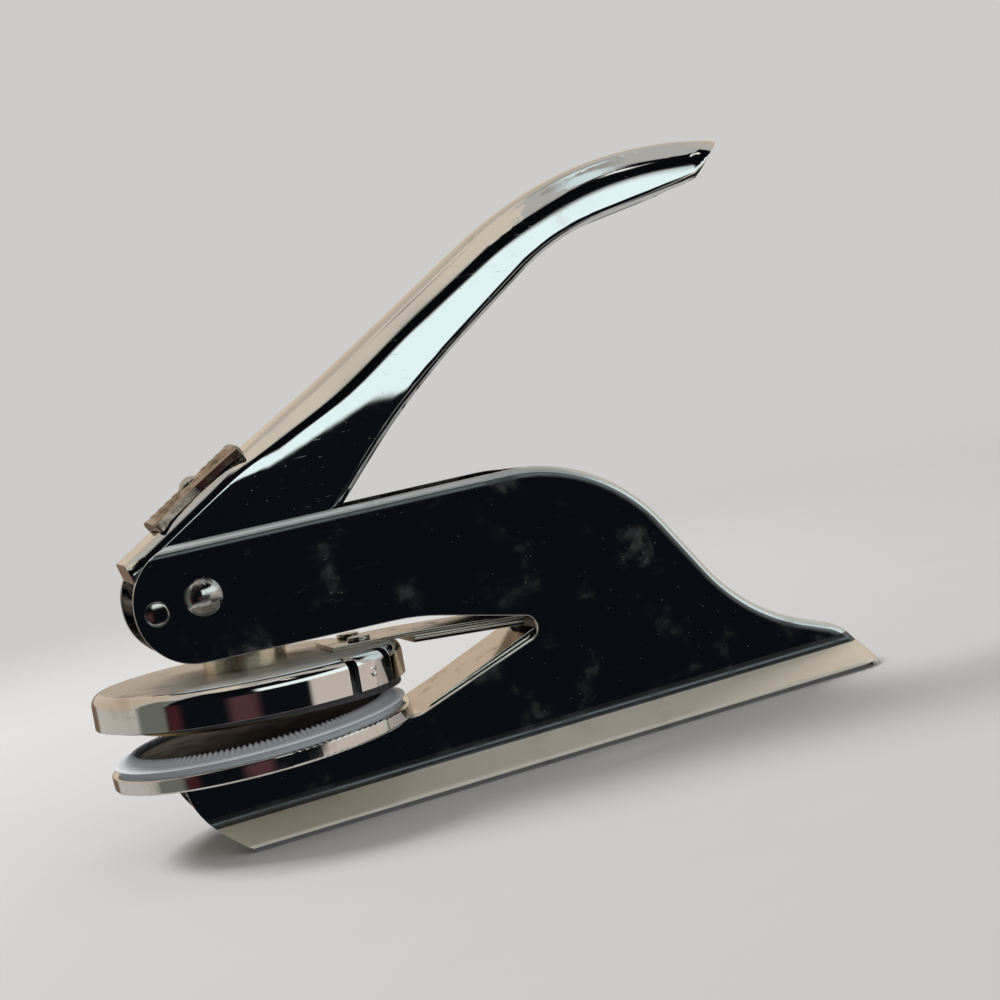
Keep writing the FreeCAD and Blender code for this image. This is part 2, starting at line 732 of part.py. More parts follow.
def make_lower_die():
    holder = new_body("lower_die_holder")
    turned(holder, [
        ("0", "seat_z"),
        ("holder_radius", "seat_z", "holder_round"),
        ("holder_radius", HOLDER_TOP_Z, "holder_round"),
        (RING_NECK_RADIUS, HOLDER_TOP_Z),
        (RING_NECK_RADIUS, FLOOR_Z),
        ("0", FLOOR_Z),
    ])
    drill(holder, HOLDER_RIVETS, "holder_rivet_radius")

    ring = new_body("counter_die_ring")
    turned(ring, [
        (RING_BORE_RADIUS, FLOOR_Z),
        (RING_NECK_RADIUS, FLOOR_Z),
        (RING_NECK_RADIUS, RING_BASE_Z),
        (RING_BASE_RADIUS, RING_BASE_Z),
        (RING_BASE_RADIUS, f"{RING_BASE_Z} + ring_base_height"),
        (RING_TOP_RADIUS, RING_TOP_Z),
        (RING_BORE_RADIUS, RING_TOP_Z),
    ])

    counter = new_body("counter_die_plate")
    turned(counter, [
        ("0", FLOOR_Z),
        (f"{RING_BORE_RADIUS} - die_fit", FLOOR_Z),
        (f"{RING_BORE_RADIUS} - die_fit", COUNTER_TOP_Z),
        ("0", COUNTER_TOP_Z),
    ])

    rivets = new_body("lower_holder_rivets", solids=2)
    round_group(rivets, HOLDER_RIVETS, "holder_rivet_radius", TONGUE_Z, FLOOR_Z)
    round_group(rivets, HOLDER_RIVETS, "holder_rivet_head",
                f"{TONGUE_Z} - holder_rivet_rise", TONGUE_Z)


def make_lower_leaf():
    """Tongue under the holder that steps up and runs along the arm into the throat."""
    body = new_body("lower_leaf")
    arm_slope = f"(throat_z - seat_z) / (throat_x - {SEAT_END_X})"
    step_x = f"{TONGUE_STEP_X} + tongue_step_run"
    step_z = f"throat_z - (throat_x - {step_x}) * {arm_slope}"
    root_z = f"throat_z - (throat_x - {ANCHOR_X}) * {arm_slope}"
    side = new_sketch(body, SIDE)
    outline(side, [
        ("tongue_front_x", "seat_z"),
        (TONGUE_STEP_X, "seat_z"),
        (step_x, f"{step_z} + tongue_thickness"),
        (ANCHOR_X, f"{root_z} + tongue_thickness"),
        (ANCHOR_X, root_z),
        (step_x, step_z),
        (TONGUE_STEP_X, TONGUE_Z),
        ("tongue_front_x", TONGUE_Z),
    ])
    pad(body, side, f"{FRAME_INNER} - 2 * tongue_side_gap")
    drill(body, HOLDER_RIVETS, "holder_rivet_radius")


def make_leaf_anchor():
    """Block between the plates that closes the throat's root and backs the leaves."""
    body = new_body("leaf_anchor")
    side = new_sketch(body, SIDE)
    rectangle(side, ANCHOR_X, "throat_z - anchor_height / 2",
              f"{ANCHOR_X} + anchor_length", "throat_z + anchor_height / 2")
    pad(body, side, FRAME_INNER)


def make_upper_die():
    cap = new_body("upper_die_cap", opens=True)
    inner = "cap_radius - cap_sheet"
    turned(cap, [
        ("stud_radius", CAP_TOP_Z),
        ("cap_radius", CAP_TOP_Z, "cap_round"),
        ("cap_radius", CAP_RIM_Z),
        (inner, CAP_RIM_Z),
        (inner, CAP_CEILING_Z, "cap_round - cap_sheet"),
        ("stud_radius", CAP_CEILING_Z),
    ])
    for sign in ("", "-"):
        for angle in ("tab_near_angle", "tab_far_angle"):
            slot = new_sketch(cap, TOP, lift=CAP_TOP_Z, turn=f"{sign}{angle}")
            rectangle(slot, "cap_radius - tab_slot_reach", "-tab_slot_width / 2",
                      "cap_radius + cap_sheet", "tab_slot_width / 2")
            pocket(cap, slot)
    drill(cap, LEAF_RIVETS, "leaf_rivet_radius")

    body = new_body("upper_die_body", opens=True)
    outer = f"{inner} - body_fit"
    low_z = f"{CAP_RIM_Z} - skirt_drop_back"
    stud_z = f"{CAP_CEILING_Z} - stud_head_height"
    turned(body, [
        ("0", stud_z),
        ("stud_head_radius", stud_z),
        ("stud_head_radius", CAP_CEILING_Z),
        (f"{outer} - body_bevel", CAP_CEILING_Z),
        (outer, f"{CAP_CEILING_Z} - body_bevel"),
        (outer, low_z),
        (f"{outer} - skirt_wall", low_z),
        (f"{outer} - skirt_wall", BODY_FACE_Z),
        (DIE_RADIUS, BODY_FACE_Z),
        (DIE_RADIUS, f"{BODY_FACE_Z} + die_seat"),
        ("0", f"{BODY_FACE_Z} + die_seat"),
    ])
    # The skirt is deeper at the back, next to the hinge, than at the front.
    slant = new_sketch(body, SIDE)
    outline(slant, [
        ("-cap_radius", f"{CAP_RIM_Z} - skirt_drop_front"),
        ("cap_radius", low_z),
        ("cap_radius", f"{low_z} - skirt_drop_back"),
        ("-cap_radius", f"{low_z} - skirt_drop_back"),
    ])
    pocket(body, slant)

    plate = new_body("upper_die_plate", opens=True)
    turned(plate, [
        ("0", DIE_FACE_Z),
        (DIE_RADIUS, DIE_FACE_Z),
        (DIE_RADIUS, f"{BODY_FACE_Z} + die_seat"),
        ("0", f"{BODY_FACE_Z} + die_seat"),
    ])


def make_plunger():
    boss = new_body("plunger_boss", opens=True)
    reach_z = f"{CAP_TOP_Z} + stud_reach"
    turned(boss, [
        ("0", reach_z),
        ("stud_radius", reach_z),
        ("stud_radius", CAP_TOP_Z),
        (BOSS_RADIUS, CAP_TOP_Z),
        (BOSS_RADIUS, BOSS_TOP_Z, "boss_round"),
        ("0", BOSS_TOP_Z),
    ])
    stud = new_body("boss_stud", opens=True)
    turned(stud, [
        ("0", reach_z),
        ("stud_radius", reach_z),
        ("stud_radius", CAP_CEILING_Z),
        ("stud_head_radius", CAP_CEILING_Z),
        ("stud_head_radius", f"{CAP_CEILING_Z} - stud_head_height"),
        ("0", f"{CAP_CEILING_Z} - stud_head_height"),
    ])


def make_upper_leaves():
    """Two strips, one on the other, from the cap to the hinge in the throat's root."""
    front_x = f"{LEAF_RIVET_X} - leaf_overhang"
    backing_x = "cap_radius + backing_gap"
    leaf = new_body("upper_leaf", opens=True)
    side = new_sketch(leaf, SIDE)
    outline(side, [
        (front_x, f"{CAP_TOP_Z} + leaf_thickness"),
        (BEND_X, f"{CAP_TOP_Z} + leaf_thickness"),
        (ROOT_X, "hinge_z + leaf_thickness"),
        (ROOT_X, "hinge_z"),
        (BEND_X, CAP_TOP_Z),
        (front_x, CAP_TOP_Z),
    ])
    pad(leaf, side, LEAF_WIDTH)
    drill(leaf, LEAF_RIVETS, "leaf_rivet_radius")

    fall = f"(hinge_z - {CAP_TOP_Z}) / ({ROOT_X} - {BEND_X})"
    front_z = f"{CAP_TOP_Z} + {fall} * ({backing_x} - {BEND_X})"
    backing = new_body("upper_leaf_backing", opens=True)
    side = new_sketch(backing, SIDE)
    outline(side, [
        (backing_x, front_z),
        (ROOT_X, "hinge_z"),
        (ROOT_X, "hinge_z - backing_thickness"),
        (backing_x, f"{front_z} - backing_thickness"),
    ])
    pad(backing, side, LEAF_WIDTH)

    rivets = new_body("leaf_rivets", opens=True, solids=2)
    head_z = f"{CAP_TOP_Z} + leaf_thickness"
    round_group(rivets, LEAF_RIVETS, "leaf_rivet_radius", CAP_CEILING_Z, head_z)
    round_group(rivets, LEAF_RIVETS, "leaf_rivet_head", head_z, f"{head_z} + leaf_rivet_rise")


def make_all():
    make_frame_channel()
    make_pivot_rivet()
    make_pivot_washers()
    cross_pin("stop_pin", STOP_X, STOP_Z, "stop_radius", "frame_width", chamfer="pin_chamfer")
    make_lower_die()
    make_lower_leaf()
    make_leaf_anchor()
    make_upper_die()
    make_plunger()
    make_upper_leaves()
    make_lever_channel()
    bore = "shank_radius + running_gap"
    cross_tube("pivot_bush", PIVOT_X, PIVOT_Z, "bush_radius", bore, LEVER_INNER)
    cross_pin("cam_pin", CAM_X, CAM_Z, "cam_pin_radius", f"{LEVER_WIDTH} + 2 * cam_pin_proud")
    bore = "cam_pin_radius + running_gap"
    roller_length = f"{LEVER_INNER} - 2 * roller_gap"
    cross_tube("cam_roller", CAM_X, CAM_Z, "roller_radius", bore, roller_length)
    make_badge()


def write_all():
    """Check every object of the document, then write one file for each sub-part."""
    document.recompute()
    for item in document.Objects:
        if "Invalid" in item.State or "Error" in item.State:
            raise RuntimeError(f"{item.Name}: {item.State}")
    os.makedirs(PARTS, exist_ok=True)
    for label, (body, solids) in SHAPES.items():
        shape = body.Shape
        if shape.isNull() or not shape.isValid() or len(shape.Solids) != solids:
            raise RuntimeError(f"{label} is not {solids} sound solid(s)")
        shape.exportStep(f"{PARTS}/{label}.step")
        box = shape.BoundBox
        spans = f"{box.XMin:8.2f} {box.XMax:8.2f} {box.YMin:7.2f} {box.YMax:7.2f}"
        print(f"{label:22s} {spans} {box.ZMin:7.2f} {box.ZMax:7.2f} {shape.Volume:10.1f}")


make_all()
write_all()
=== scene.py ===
"""Seal embosser: the visible pieces, their finishes and the studio around them."""

import json
import logging
import math
from dataclasses import dataclass, field
from enum import Enum
from functools import partial
from typing import Callable, Sequence

import bmesh
import bpy
from bmesh.types import BMEdge, BMesh, BMVert
from bpy.types import Material, Node, NodeSocket, NodeTree, Object
from mathutils import Matrix, Vector

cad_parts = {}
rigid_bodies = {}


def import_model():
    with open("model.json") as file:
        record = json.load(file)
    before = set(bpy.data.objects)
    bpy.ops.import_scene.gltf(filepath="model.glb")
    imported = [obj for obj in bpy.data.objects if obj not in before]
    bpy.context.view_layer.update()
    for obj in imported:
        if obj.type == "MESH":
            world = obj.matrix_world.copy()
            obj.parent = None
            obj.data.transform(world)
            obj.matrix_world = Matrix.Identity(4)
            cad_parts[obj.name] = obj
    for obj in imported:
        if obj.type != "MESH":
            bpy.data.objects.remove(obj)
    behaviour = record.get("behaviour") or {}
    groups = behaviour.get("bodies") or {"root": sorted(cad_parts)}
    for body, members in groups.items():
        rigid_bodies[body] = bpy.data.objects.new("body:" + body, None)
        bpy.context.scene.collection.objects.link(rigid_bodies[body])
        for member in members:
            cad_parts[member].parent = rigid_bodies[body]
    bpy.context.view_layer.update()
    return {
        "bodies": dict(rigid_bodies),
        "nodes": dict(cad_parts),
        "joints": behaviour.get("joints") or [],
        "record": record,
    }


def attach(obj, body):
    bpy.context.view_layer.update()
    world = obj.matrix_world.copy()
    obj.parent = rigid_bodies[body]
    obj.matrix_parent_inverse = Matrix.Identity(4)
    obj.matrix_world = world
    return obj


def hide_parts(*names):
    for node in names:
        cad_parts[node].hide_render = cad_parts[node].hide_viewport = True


Point = tuple[float, float]
Point3 = tuple[float, float, float]

LOG = logging.getLogger("seal_embosser")
MM = 0.001
DIE_X = -42.27  # the die axis, along X, in millimetres
# Places as (x, z), in millimetres from the die axis.
PIVOT: Point = (-5.5, 42.8)
STOP: Point = (-13.6, 41.9)
HINGE: Point = (49.5, 24.6)
OPEN_DEGREES = 3.64  # how far the upper die is open at rest
SMOOTH = {"interpolation_type": "SMOOTHSTEP"}


class Body(str, Enum):
    """The bodies that pieces ride on."""

    FRAME = "frame"
    UPPER_DIE = "upper_die"
    LEVER = "lever"


class Slot(str, Enum):
    """The record's material slots."""

    BRIGHT_NICKEL = "bright_nickel"
    CHROME_CUP = "chrome_cup"
    WARM_NICKEL = "warm_nickel"
    PLAIN_STEEL = "plain_steel"
    SATIN_STEEL = "satin_steel"
    PALE_PLASTIC = "pale_plastic"
    DARK_PLASTIC = "dark_plastic"


# ---- Small helpers


def at(x: float, y: float, z: float) -> Vector:
    """Place in metres of one that is given in millimetres from the die axis."""
    return Vector(((x + DIE_X) * MM, y * MM, z * MM))


# Carries what rides on the upper die from shut to open.
OPENED = (Matrix.Translation(at(HINGE[0], 0.0, HINGE[1]))
          @ Matrix.Rotation(math.radians(OPEN_DEGREES), 4, "Y")
          @ Matrix.Translation(-at(HINGE[0], 0.0, HINGE[1])))


def linear(code: str, gain: float = 1.0) -> tuple[float, float, float, float]:
    """Turn an sRGB hex code into linear RGBA.

    Args:
        code: six hex digits, such as "c8c4be".
        gain: factor on the linear values.

    Returns:
        Linear red, green, blue and an alpha of 1.
    """
    parts = [int(code[i:i + 2], 16) / 255 for i in (0, 2, 4)]
    flat = [p / 12.92 if p <= 0.04045 else ((p + 0.055) / 1.055) ** 2.4 for p in parts]
    return (flat[0] * gain, flat[1] * gain, flat[2] * gain, 1.0)


def feed(node: Node, inputs: dict) -> None:
    """Set or link a node's inputs.

    Args:
        node: the node.
        inputs: input name or index to a value, or to the output socket that feeds it, or to
            a node whose first output feeds it.
    """
    for name, value in inputs.items():
        if isinstance(value, Node):
            value = value.outputs[0]
        if isinstance(value, NodeSocket):
            node.id_data.links.new(value, node.inputs[name])
        else:
            node.inputs[name].default_value = value


def add_node(tree: NodeTree, kind: str, inputs: dict | None = None, **settings) -> Node:
    """Add a node with its settings and links.

    Args:
        tree: the node tree.
        kind: the node's type name, after "ShaderNode".
        inputs: its inputs, as feed takes them.
        settings: attributes of the node.

    Returns:
        The new node.
    """
    node = tree.nodes.new(f"ShaderNode{kind}")
    for name, value in settings.items():
        setattr(node, name, value)
    feed(node, inputs or {})
    return node


def new_material(name: str) -> tuple:
    """Start a node material.

    Args:
        name: the material's name.

    Returns:
        The material, its add_node, its shader, and the object coordinates.
    """
    material = bpy.data.materials.new(name)
    material.use_nodes = True
    add = partial(add_node, material.node_tree)
    shader = material.node_tree.nodes["Principled BSDF"]
    return material, add, shader, add("TexCoord").outputs["Object"]


def per_mm(size: float) -> float:
    """Texture scale that makes one feature as large as size, in millimetres."""
    return 1.0 / (size * MM)


def smooth_step(low: float, high: float, value: float) -> float:
    """Ease from 0 at low to 1 at high."""
    t = min(max((value - low) / (high - low), 0.0), 1.0)
    return t * t * (3 - 2 * t)


@dataclass(frozen=True)
class Ease:
    """A size that eases from one value to another over a stretch."""

    start: float
    end: float
    first: float = 0.0
    last: float = 1.0

    def at(self, place: float) -> float:
        """The size at a place."""
        return self.first + (self.last - self.first) * smooth_step(self.start, self.end, place)


def rounded(corners: Sequence[tuple], step: float = 7.0) -> list[Point]:
    """Outline in which a corner with a third number, its radius, becomes a tangent arc.

    Args:
        corners: (x, y) or (x, y, radius), in order; the first and last stay sharp.
        step: largest turn between two points of an arc, in degrees.

    Returns:
        The outline's points.
    """
    points: list[Point] = []
    for i, corner in enumerate(corners):
        here = Vector(corner[:2])
        if len(corner) == 2:
            points.append(tuple(here))
            continue
        back = (Vector(corners[i - 1][:2]) - here).normalized()
        on = (Vector(corners[(i + 1) % len(corners)][:2]) - here).normalized()
        half = back.angle(on) / 2
        centre = here + (back + on).normalized() * (corner[2] / math.sin(half))
        start = here + back * (corner[2] / math.tan(half)) - centre
        end = here + on * (corner[2] / math.tan(half)) - centre
        first = math.atan2(start.y, start.x)
        sweep = (math.atan2(end.y, end.x) - first + math.pi) % math.tau - math.pi
        count = max(2, math.ceil(abs(math.degrees(sweep)) / step))
        for k in range(count + 1):
            angle = first + sweep * k / count
            points.append((centre.x + corner[2] * math.cos(angle),
                           centre.y + corner[2] * math.sin(angle)))
    return points


def crossings(points: Sequence[Point], axis: int, value: float) -> list[float]:
    """Where an open or closed run of points passes a value of one coordinate.

    Args:
        points: the run.
        axis: the coordinate that has the value, 0 or 1.
        value: the value.

    Returns:
        The other coordinate at each crossing, smallest first.
    """
    found = []
    for a, b in zip(points, points[1:]):
        if (a[axis] - value) * (b[axis] - value) <= 0 and a[axis] != b[axis]:
            share = (value - a[axis]) / (b[axis] - a[axis])
            found.append(a[1 - axis] + share * (b[1 - axis] - a[1 - axis]))
    return sorted(found)


def resampled(points: Sequence[Point], count: int) -> list[Point]:
    """A run of points with count even steps.

    Args:
        points: the run.
        count: number of points wanted.

    Returns:
        The points, the first and last ones kept.
    """
    lengths = [0.0]
    for a, b in zip(points, points[1:]):
        lengths.append(lengths[-1] + math.dist(a, b))
    result = []
    k = 0
    for i in range(count):
        want = lengths[-1] * i / (count - 1)
        while k < len(points) - 2 and lengths[k + 1] < want:
            k += 1
        share = (want - lengths[k]) / (lengths[k + 1] - lengths[k])
        a, b = points[k], points[k + 1]
        result.append((a[0] + share * (b[0] - a[0]), a[1] + share * (b[1] - a[1])))
    return result


# ---- Finishes


@dataclass(frozen=True)
class PlatedMetal:
    """Electroplated and buffed sheet or turned metal.

    The buffing leaves hair scratches, handling leaves clouds of haze and pin-head specks.
    Both are roughness more than colour, so they only show where the metal mirrors something.
    Sizes are in millimetres.
    """

    name: str
    tint: str
    haze_tint: str
    roughness: float = 0.05
    metallic: float = 1.0
    haze: float = 0.25
    haze_size: float = 9.0
    haze_start: float = 0.52
    haze_blend: float = 0.2
    specks: float = 0.5
    speck_size: float = 1.1
    speck_rim: Point = (0.05, 0.11)
    speck_rarity: float = 0.8
    scratches: float = 0.4
    scratch_turn: float = 0.6
    scratch_size: float = 6.0
    scratch_stretch: float = 26.0
    scratch_depth: float = 0.002
    scratch_band: Point = (0.69, 0.72)
    patch_size: float = 15.0
    patch_band: Point = (0.5, 0.62)
    wobble: float = 0.004
    wobble_size: float = 7.0
    grain: float = 0.0
    grain_size: float = 0.35
    pressed: float = 0.0
    pressed_band: Point = (3.2, 4.9)

    def build(self) -> Material:
        """Make the material.

        Returns:
            The node material.
        """
        material, add, shader, place = new_material(self.name)
        turned = add("Mapping", {
            "Vector": place, "Rotation": (0.0, self.scratch_turn, 0.0),
            "Scale": (1.0, 1.0, self.scratch_stretch)})
        cloud, hair, patch, wave, fine = (
            add("TexNoise", {"Vector": where, "Scale": per_mm(size), "Detail": detail,
                             "Roughness": roughness})
            for where, size, detail, roughness in (
                (place, self.haze_size, 7.0, 0.62), (turned, self.scratch_size, 3.0, 0.6),
                (place, self.patch_size, 2.0, 0.5), (place, self.wobble_size, 1.0, 0.5),
                (place, self.grain_size, 3.0, 0.5)))
        dust = add("TexVoronoi", {"Vector": place, "Scale": per_mm(self.speck_size)})
        clouded = add("MapRange", {"Value": cloud, "From Min": self.haze_start,
                                   "From Max": self.haze_start + self.haze_blend}, **SMOOTH)
        spot = add("MapRange", {"Value": dust, "From Min": self.speck_rim[0],
                                "From Max": self.speck_rim[1], "To Min": 1.0, "To Max": 0.0})
        rare = add("Math", {0: dust.outputs["Color"], 1: self.speck_rarity},
                   operation="GREATER_THAN")
        spotted = add("Math", {0: spot, 1: rare}, operation="MULTIPLY")
        line, patched = (
            add("MapRange", {"Value": value, "From Min": low, "From Max": high})
            for value, (low, high) in ((hair, self.scratch_band), (patch, self.patch_band)))
        scratched = add("Math", {0: line, 1: patched}, operation="MULTIPLY")
        rough = self.roughness
        for mark, amount in ((clouded, self.haze), (spotted, self.specks),
                             (scratched, self.scratches)):
            rough = add("Math", {0: mark, 1: amount, 2: rough}, operation="MULTIPLY_ADD",
                        use_clamp=True)
        dull = add("Math", {0: clouded, 1: 0.5, 2: spotted}, operation="MULTIPLY_ADD",
                   use_clamp=True)
        colour = add("Mix", {
            0: dull, 6: linear(self.tint), 7: linear(self.haze_tint)}, data_type="RGBA")
        heights = [(wave, self.wobble), (scratched, self.scratch_depth)]
        if self.grain:
            heights.append((fine, self.grain))
        if self.pressed:
            heights.append((self._dish(add, place), self.pressed))
        normal: dict = {}
        for height, depth in heights:
            normal = {"Normal": add("Bump", {
                "Height": height, "Distance": depth * MM, **normal}, invert=height is scratched)}
        feed(shader, {"Roughness": rough, "Base Color": colour.outputs[2],
                      "Metallic": self.metallic, **normal})
        return material

    def _dish(self, add: Callable, place: NodeSocket) -> Node:
        """Dish of the sheet where the rivet's head was pressed against it.

        Args:
            add: the material's add_node.
            place: the object coordinates.

        Returns:
            The node that gives its height.
        """
        off = add("VectorMath", {0: place, 1: at(PIVOT[0], 0.0, PIVOT[1])}, operation="SUBTRACT")
        flat = add("VectorMath", {0: off, 1: (1.0, 0.0, 1.0)}, operation="MULTIPLY")
        reach = add("VectorMath", {0: flat}, operation="LENGTH")
        low, high = self.pressed_band
        return add("MapRange", {"Value": reach.outputs["Value"], "From Min": low * MM,
                                "From Max": high * MM}, **SMOOTH)


@dataclass(frozen=True)
class MouldedPlastic:
    """Injection-moulded ABS or nylon: a low sheen skin with fine spark-eroded grain and dust."""

    name: str
    base: str
    dusty: str
    roughness: float = 0.45
    specular: float = 0.5
    grain: float = 0.006
    grain_size: float = 0.3
    dust: float = 0.35
    dust_size: float = 5.0
    dust_band: Point = (0.45, 0.75)
    dust_roughness: float = 0.6

    def build(self) -> Material:
        """Make the material.

        Returns:
            The node material.
        """
        material, add, shader, place = new_material(self.name)
        cloud = add("TexNoise", {
            "Vector": place, "Scale": per_mm(self.dust_size), "Detail": 8.0, "Roughness": 0.7})
        dusted = add("MapRange", {"Value": cloud, "From Min": self.dust_band[0],
                                  "From Max": self.dust_band[1], "To Max": self.dust})
        colour = add("Mix", {
            0: dusted, 6: linear(self.base), 7: linear(self.dusty)}, data_type="RGBA")
        rough = add("Math", {0: dusted, 1: self.dust_roughness, 2: self.roughness},
                    operation="MULTIPLY_ADD")
        fine = add("TexNoise", {"Vector": place, "Scale": per_mm(self.grain_size), "Detail": 2.0})
        bump = add("Bump", {"Height": fine, "Distance": self.grain * MM})
        feed(shader, {"Base Color": colour.outputs[2], "Roughness": rough, "IOR": 1.5,
                      "Specular IOR Level": self.specular, "Normal": bump})
        return material


class Finish(Enum):
    """Every finish of the object."""

    # Buffed plate: a mirror with faint clouds of haze.
    FRAME_NICKEL = PlatedMetal(
        "bright_nickel_plate", "c6c9cd", "a9a49b", haze=0.19, haze_start=0.5, scratches=0.12,
        specks=0.35, pressed=0.05)
    LEVER_NICKEL = PlatedMetal(
        "bright_nickel_plate_lever", "cfd3d5", "a9a49b", haze=0.06, scratches=0.3,
        scratch_turn=0.2, haze_start=0.56, wobble=0.006)
    CUP_CHROME = PlatedMetal("chrome_plate_cup", "d2d2d0", "b0a79b", haze=0.16, wobble=0.01)
    # Blasted before plating: a dull top with a fine grain.
    CUP_TOP = PlatedMetal(
        "satin_nickel_cup_top", "b3aca2", "5e5850", roughness=0.4, haze=0.15, metallic=0.7,
        speck_size=0.6, specks=0.4, grain=0.014, grain_size=0.28)
    # Cast and rubbed by hands: brownish and blotched.
    WARM_NICKEL = PlatedMetal(
        "worn_nickel_badge", "9c9085", "594f46", roughness=0.22, haze=0.3, haze_size=2.4,
        haze_start=0.45, grain=0.012)
    # Turned on a lathe: softer, slightly wavy mirrors.
    BOSS_NICKEL = PlatedMetal(
        "turned_nickel_boss", "d2cbb8", "8a806c", roughness=0.26, haze=0.2, haze_size=2.0,
        wobble=0.03, wobble_size=1.3)
    TURNED_STEEL = PlatedMetal("turned_steel", "b5b4b2", "7f7a73", roughness=0.09, haze=0.2)
    RIVET_NICKEL = PlatedMetal(
        "buffed_nickel_rivet", "bdbdbd", "827d77", roughness=0.12, haze=0.2, haze_size=1.6,
        haze_start=0.44, speck_size=0.45, specks=0.4)
    # Blackened and oiled: dark, with a dim sheen.
    OILED_STEEL = PlatedMetal(
        "blackened_oiled_steel", "3c3d40", "55504a", roughness=0.28, haze=0.2)
    # Cold-rolled: warm grey, a little wavy.
    SPRING_STRIP = PlatedMetal(
        "rolled_spring_strip", "c3bdb2", "8c857a", roughness=0.12, haze=0.25, haze_size=4.0,
        wobble=0.02, wobble_size=3.0)
    SEAL_BRASS = PlatedMetal("seal_plate_brass", "8f7b52", "5c4e36", roughness=0.3, haze=0.3)
    # Moulded: pale nylon and black ABS with a low sheen.
    PALE_PLASTIC = MouldedPlastic("moulded_nylon_pale", "c8ced4", "a4aab0", roughness=0.38)
    DARK_PLASTIC = MouldedPlastic("moulded_abs_dark", "26282b", "5d5a57", roughness=0.5)
    COUNTER_RESIN = MouldedPlastic(
        "cast_resin_counter", "08090b", "484644", roughness=0.4, dust=0.3, specular=0.1)
    # Lit and shaded copies of the nickel for the flare and frame edges: a satin foot whose cream
    # tint and part-diffuse base are a painted reflection of the cream it mirrors, a dark copy
    # that is painted shade, and a light copy that is a painted highlight; then the holder's plain
    # underside, plated but not buffed.
    FOOT_PAINTED_REFLECTION = PlatedMetal(
        "satin_nickel_foot_painted_reflection", "dcd6ca", "c8bfb0", roughness=0.34, metallic=0.6, haze=0.05,
        scratches=0.05, specks=0.2)
    # Dark grey copy of the nickel: painted shade on frame edges near the plates and on the flare.
    PAINTED_SHADE_EDGE = PlatedMetal("nickel_edge_painted_shade", "5a5e61", "4c4a47", roughness=0.3)
    # Light cyan-grey, part-diffuse copy of the nickel: a painted highlight on the frame's rounded
    # edges.
    PAINTED_HIGHLIGHT_EDGE = PlatedMetal(
        "nickel_edge_painted_highlight", "ccd4d4", "a9b0b0", roughness=0.28, metallic=0.6)
    PLAIN_UNDERSIDE = PlatedMetal("unbuffed_nickel_underside", "cfc9be", "a39d92", roughness=0.5)


# ---- Mesh work


def turned_solid(profile: Sequence[Point], steps: int, place: Matrix) -> BMesh:
    """Spin a closed (radius, height) outline about the Z axis, and move it to its place.

    Args:
        profile: corners in millimetres, in order.
        steps: segments round the axis.
        place: where its own origin and axes go, in metres.

    Returns:
        A closed bmesh, in metres.
    """
    mesh = bmesh.new()
    corners = [mesh.verts.new((r * MM, 0.0, z * MM)) for r, z in profile]
    edges = [mesh.edges.new(pair) for pair in zip(corners, corners[1:] + corners[:1])]
    bmesh.ops.spin(mesh, geom=corners + edges, cent=(0, 0, 0), axis=(0, 0, 1),
                   angle=math.tau, steps=steps, use_merge=True)
    bmesh.ops.remove_doubles(mesh, verts=mesh.verts, dist=1e-7)
    loose = [edge for edge in mesh.edges if not edge.link_faces]
    bmesh.ops.delete(mesh, geom=loose, context="EDGES")
    bmesh.ops.recalc_face_normals(mesh, faces=mesh.faces)
    bmesh.ops.transform(mesh, matrix=place, verts=mesh.verts)
    return mesh


def ease_edges(mesh: BMesh, width: float, sharper_than: float = 35.0,
               segments: int = 2, wanted: Callable[[BMEdge], bool] = lambda edge: True) -> None:
    """Round the sharp edges of a mesh.

    Args:
        mesh: the mesh, changed in place.
        width: bevel width in millimetres.
        sharper_than: least angle between the faces, in degrees.
        segments: steps of the rounding.
        wanted: further test for an edge.
    """
    limit = math.radians(sharper_than)
    edges = [edge for edge in mesh.edges
             if len(edge.link_faces) == 2 and edge.calc_face_angle(0.0) > limit and wanted(edge)]
    bmesh.ops.bevel(mesh, geom=edges, offset=width * MM, offset_type="OFFSET", segments=segments,
                    profile=0.5, affect="EDGES", material=-1, clamp_overlap=True)


def sheet_between(mesh: BMesh, rows: Sequence[Sequence[BMVert]], wrap: bool = False) -> None:
    """Fill quads between neighbouring rows of vertices.

    Args:
        mesh: the mesh, changed in place.
        rows: rows of as many vertices each.
        wrap: whether the last row joins the first.
    """
    pairs = list(zip(rows, rows[1:]))
    if wrap:
        pairs.append((rows[-1], rows[0]))
    for low, high in pairs:
        for j in range(len(low) - 1):
            mesh.faces.new((low[j], low[j + 1], high[j + 1], high[j]))


def absorb(mesh: BMesh, other: BMesh) -> None:
    """Add another mesh's faces to a mesh.

    Args:
        mesh: the mesh, changed in place.
        other: the mesh that is added, freed here.
    """
    scratch = bpy.data.meshes.new("scratch")
    other.to_mesh(scratch)
    other.free()
    mesh.from_mesh(scratch)
    bpy.data.meshes.remove(scratch)


def slab(side: Sequence[Point], half_width: float, edge: float) -> BMesh:
    """Strip with a constant outline, seen from the side, about the middle plane.

    Args:
        side: its (x, z) outline in millimetres, from the die axis.
        half_width: of the strip, in millimetres.
        edge: rounding of its edges, in millimetres.

    Returns:
        A closed bmesh, in metres.
    """
    mesh = bmesh.new()
    face = mesh.faces.new([mesh.verts.new(at(x, -half_width, z)) for x, z in side])
    grown = bmesh.ops.extrude_face_region(mesh, geom=[face])
    moved = [item for item in grown["geom"] if isinstance(item, BMVert)]
    bmesh.ops.translate(mesh, verts=moved, vec=(0, 2 * half_width * MM, 0))
    bmesh.ops.recalc_face_normals(mesh, faces=mesh.faces)
    ease_edges(mesh, edge, sharper_than=25.0)
    return mesh


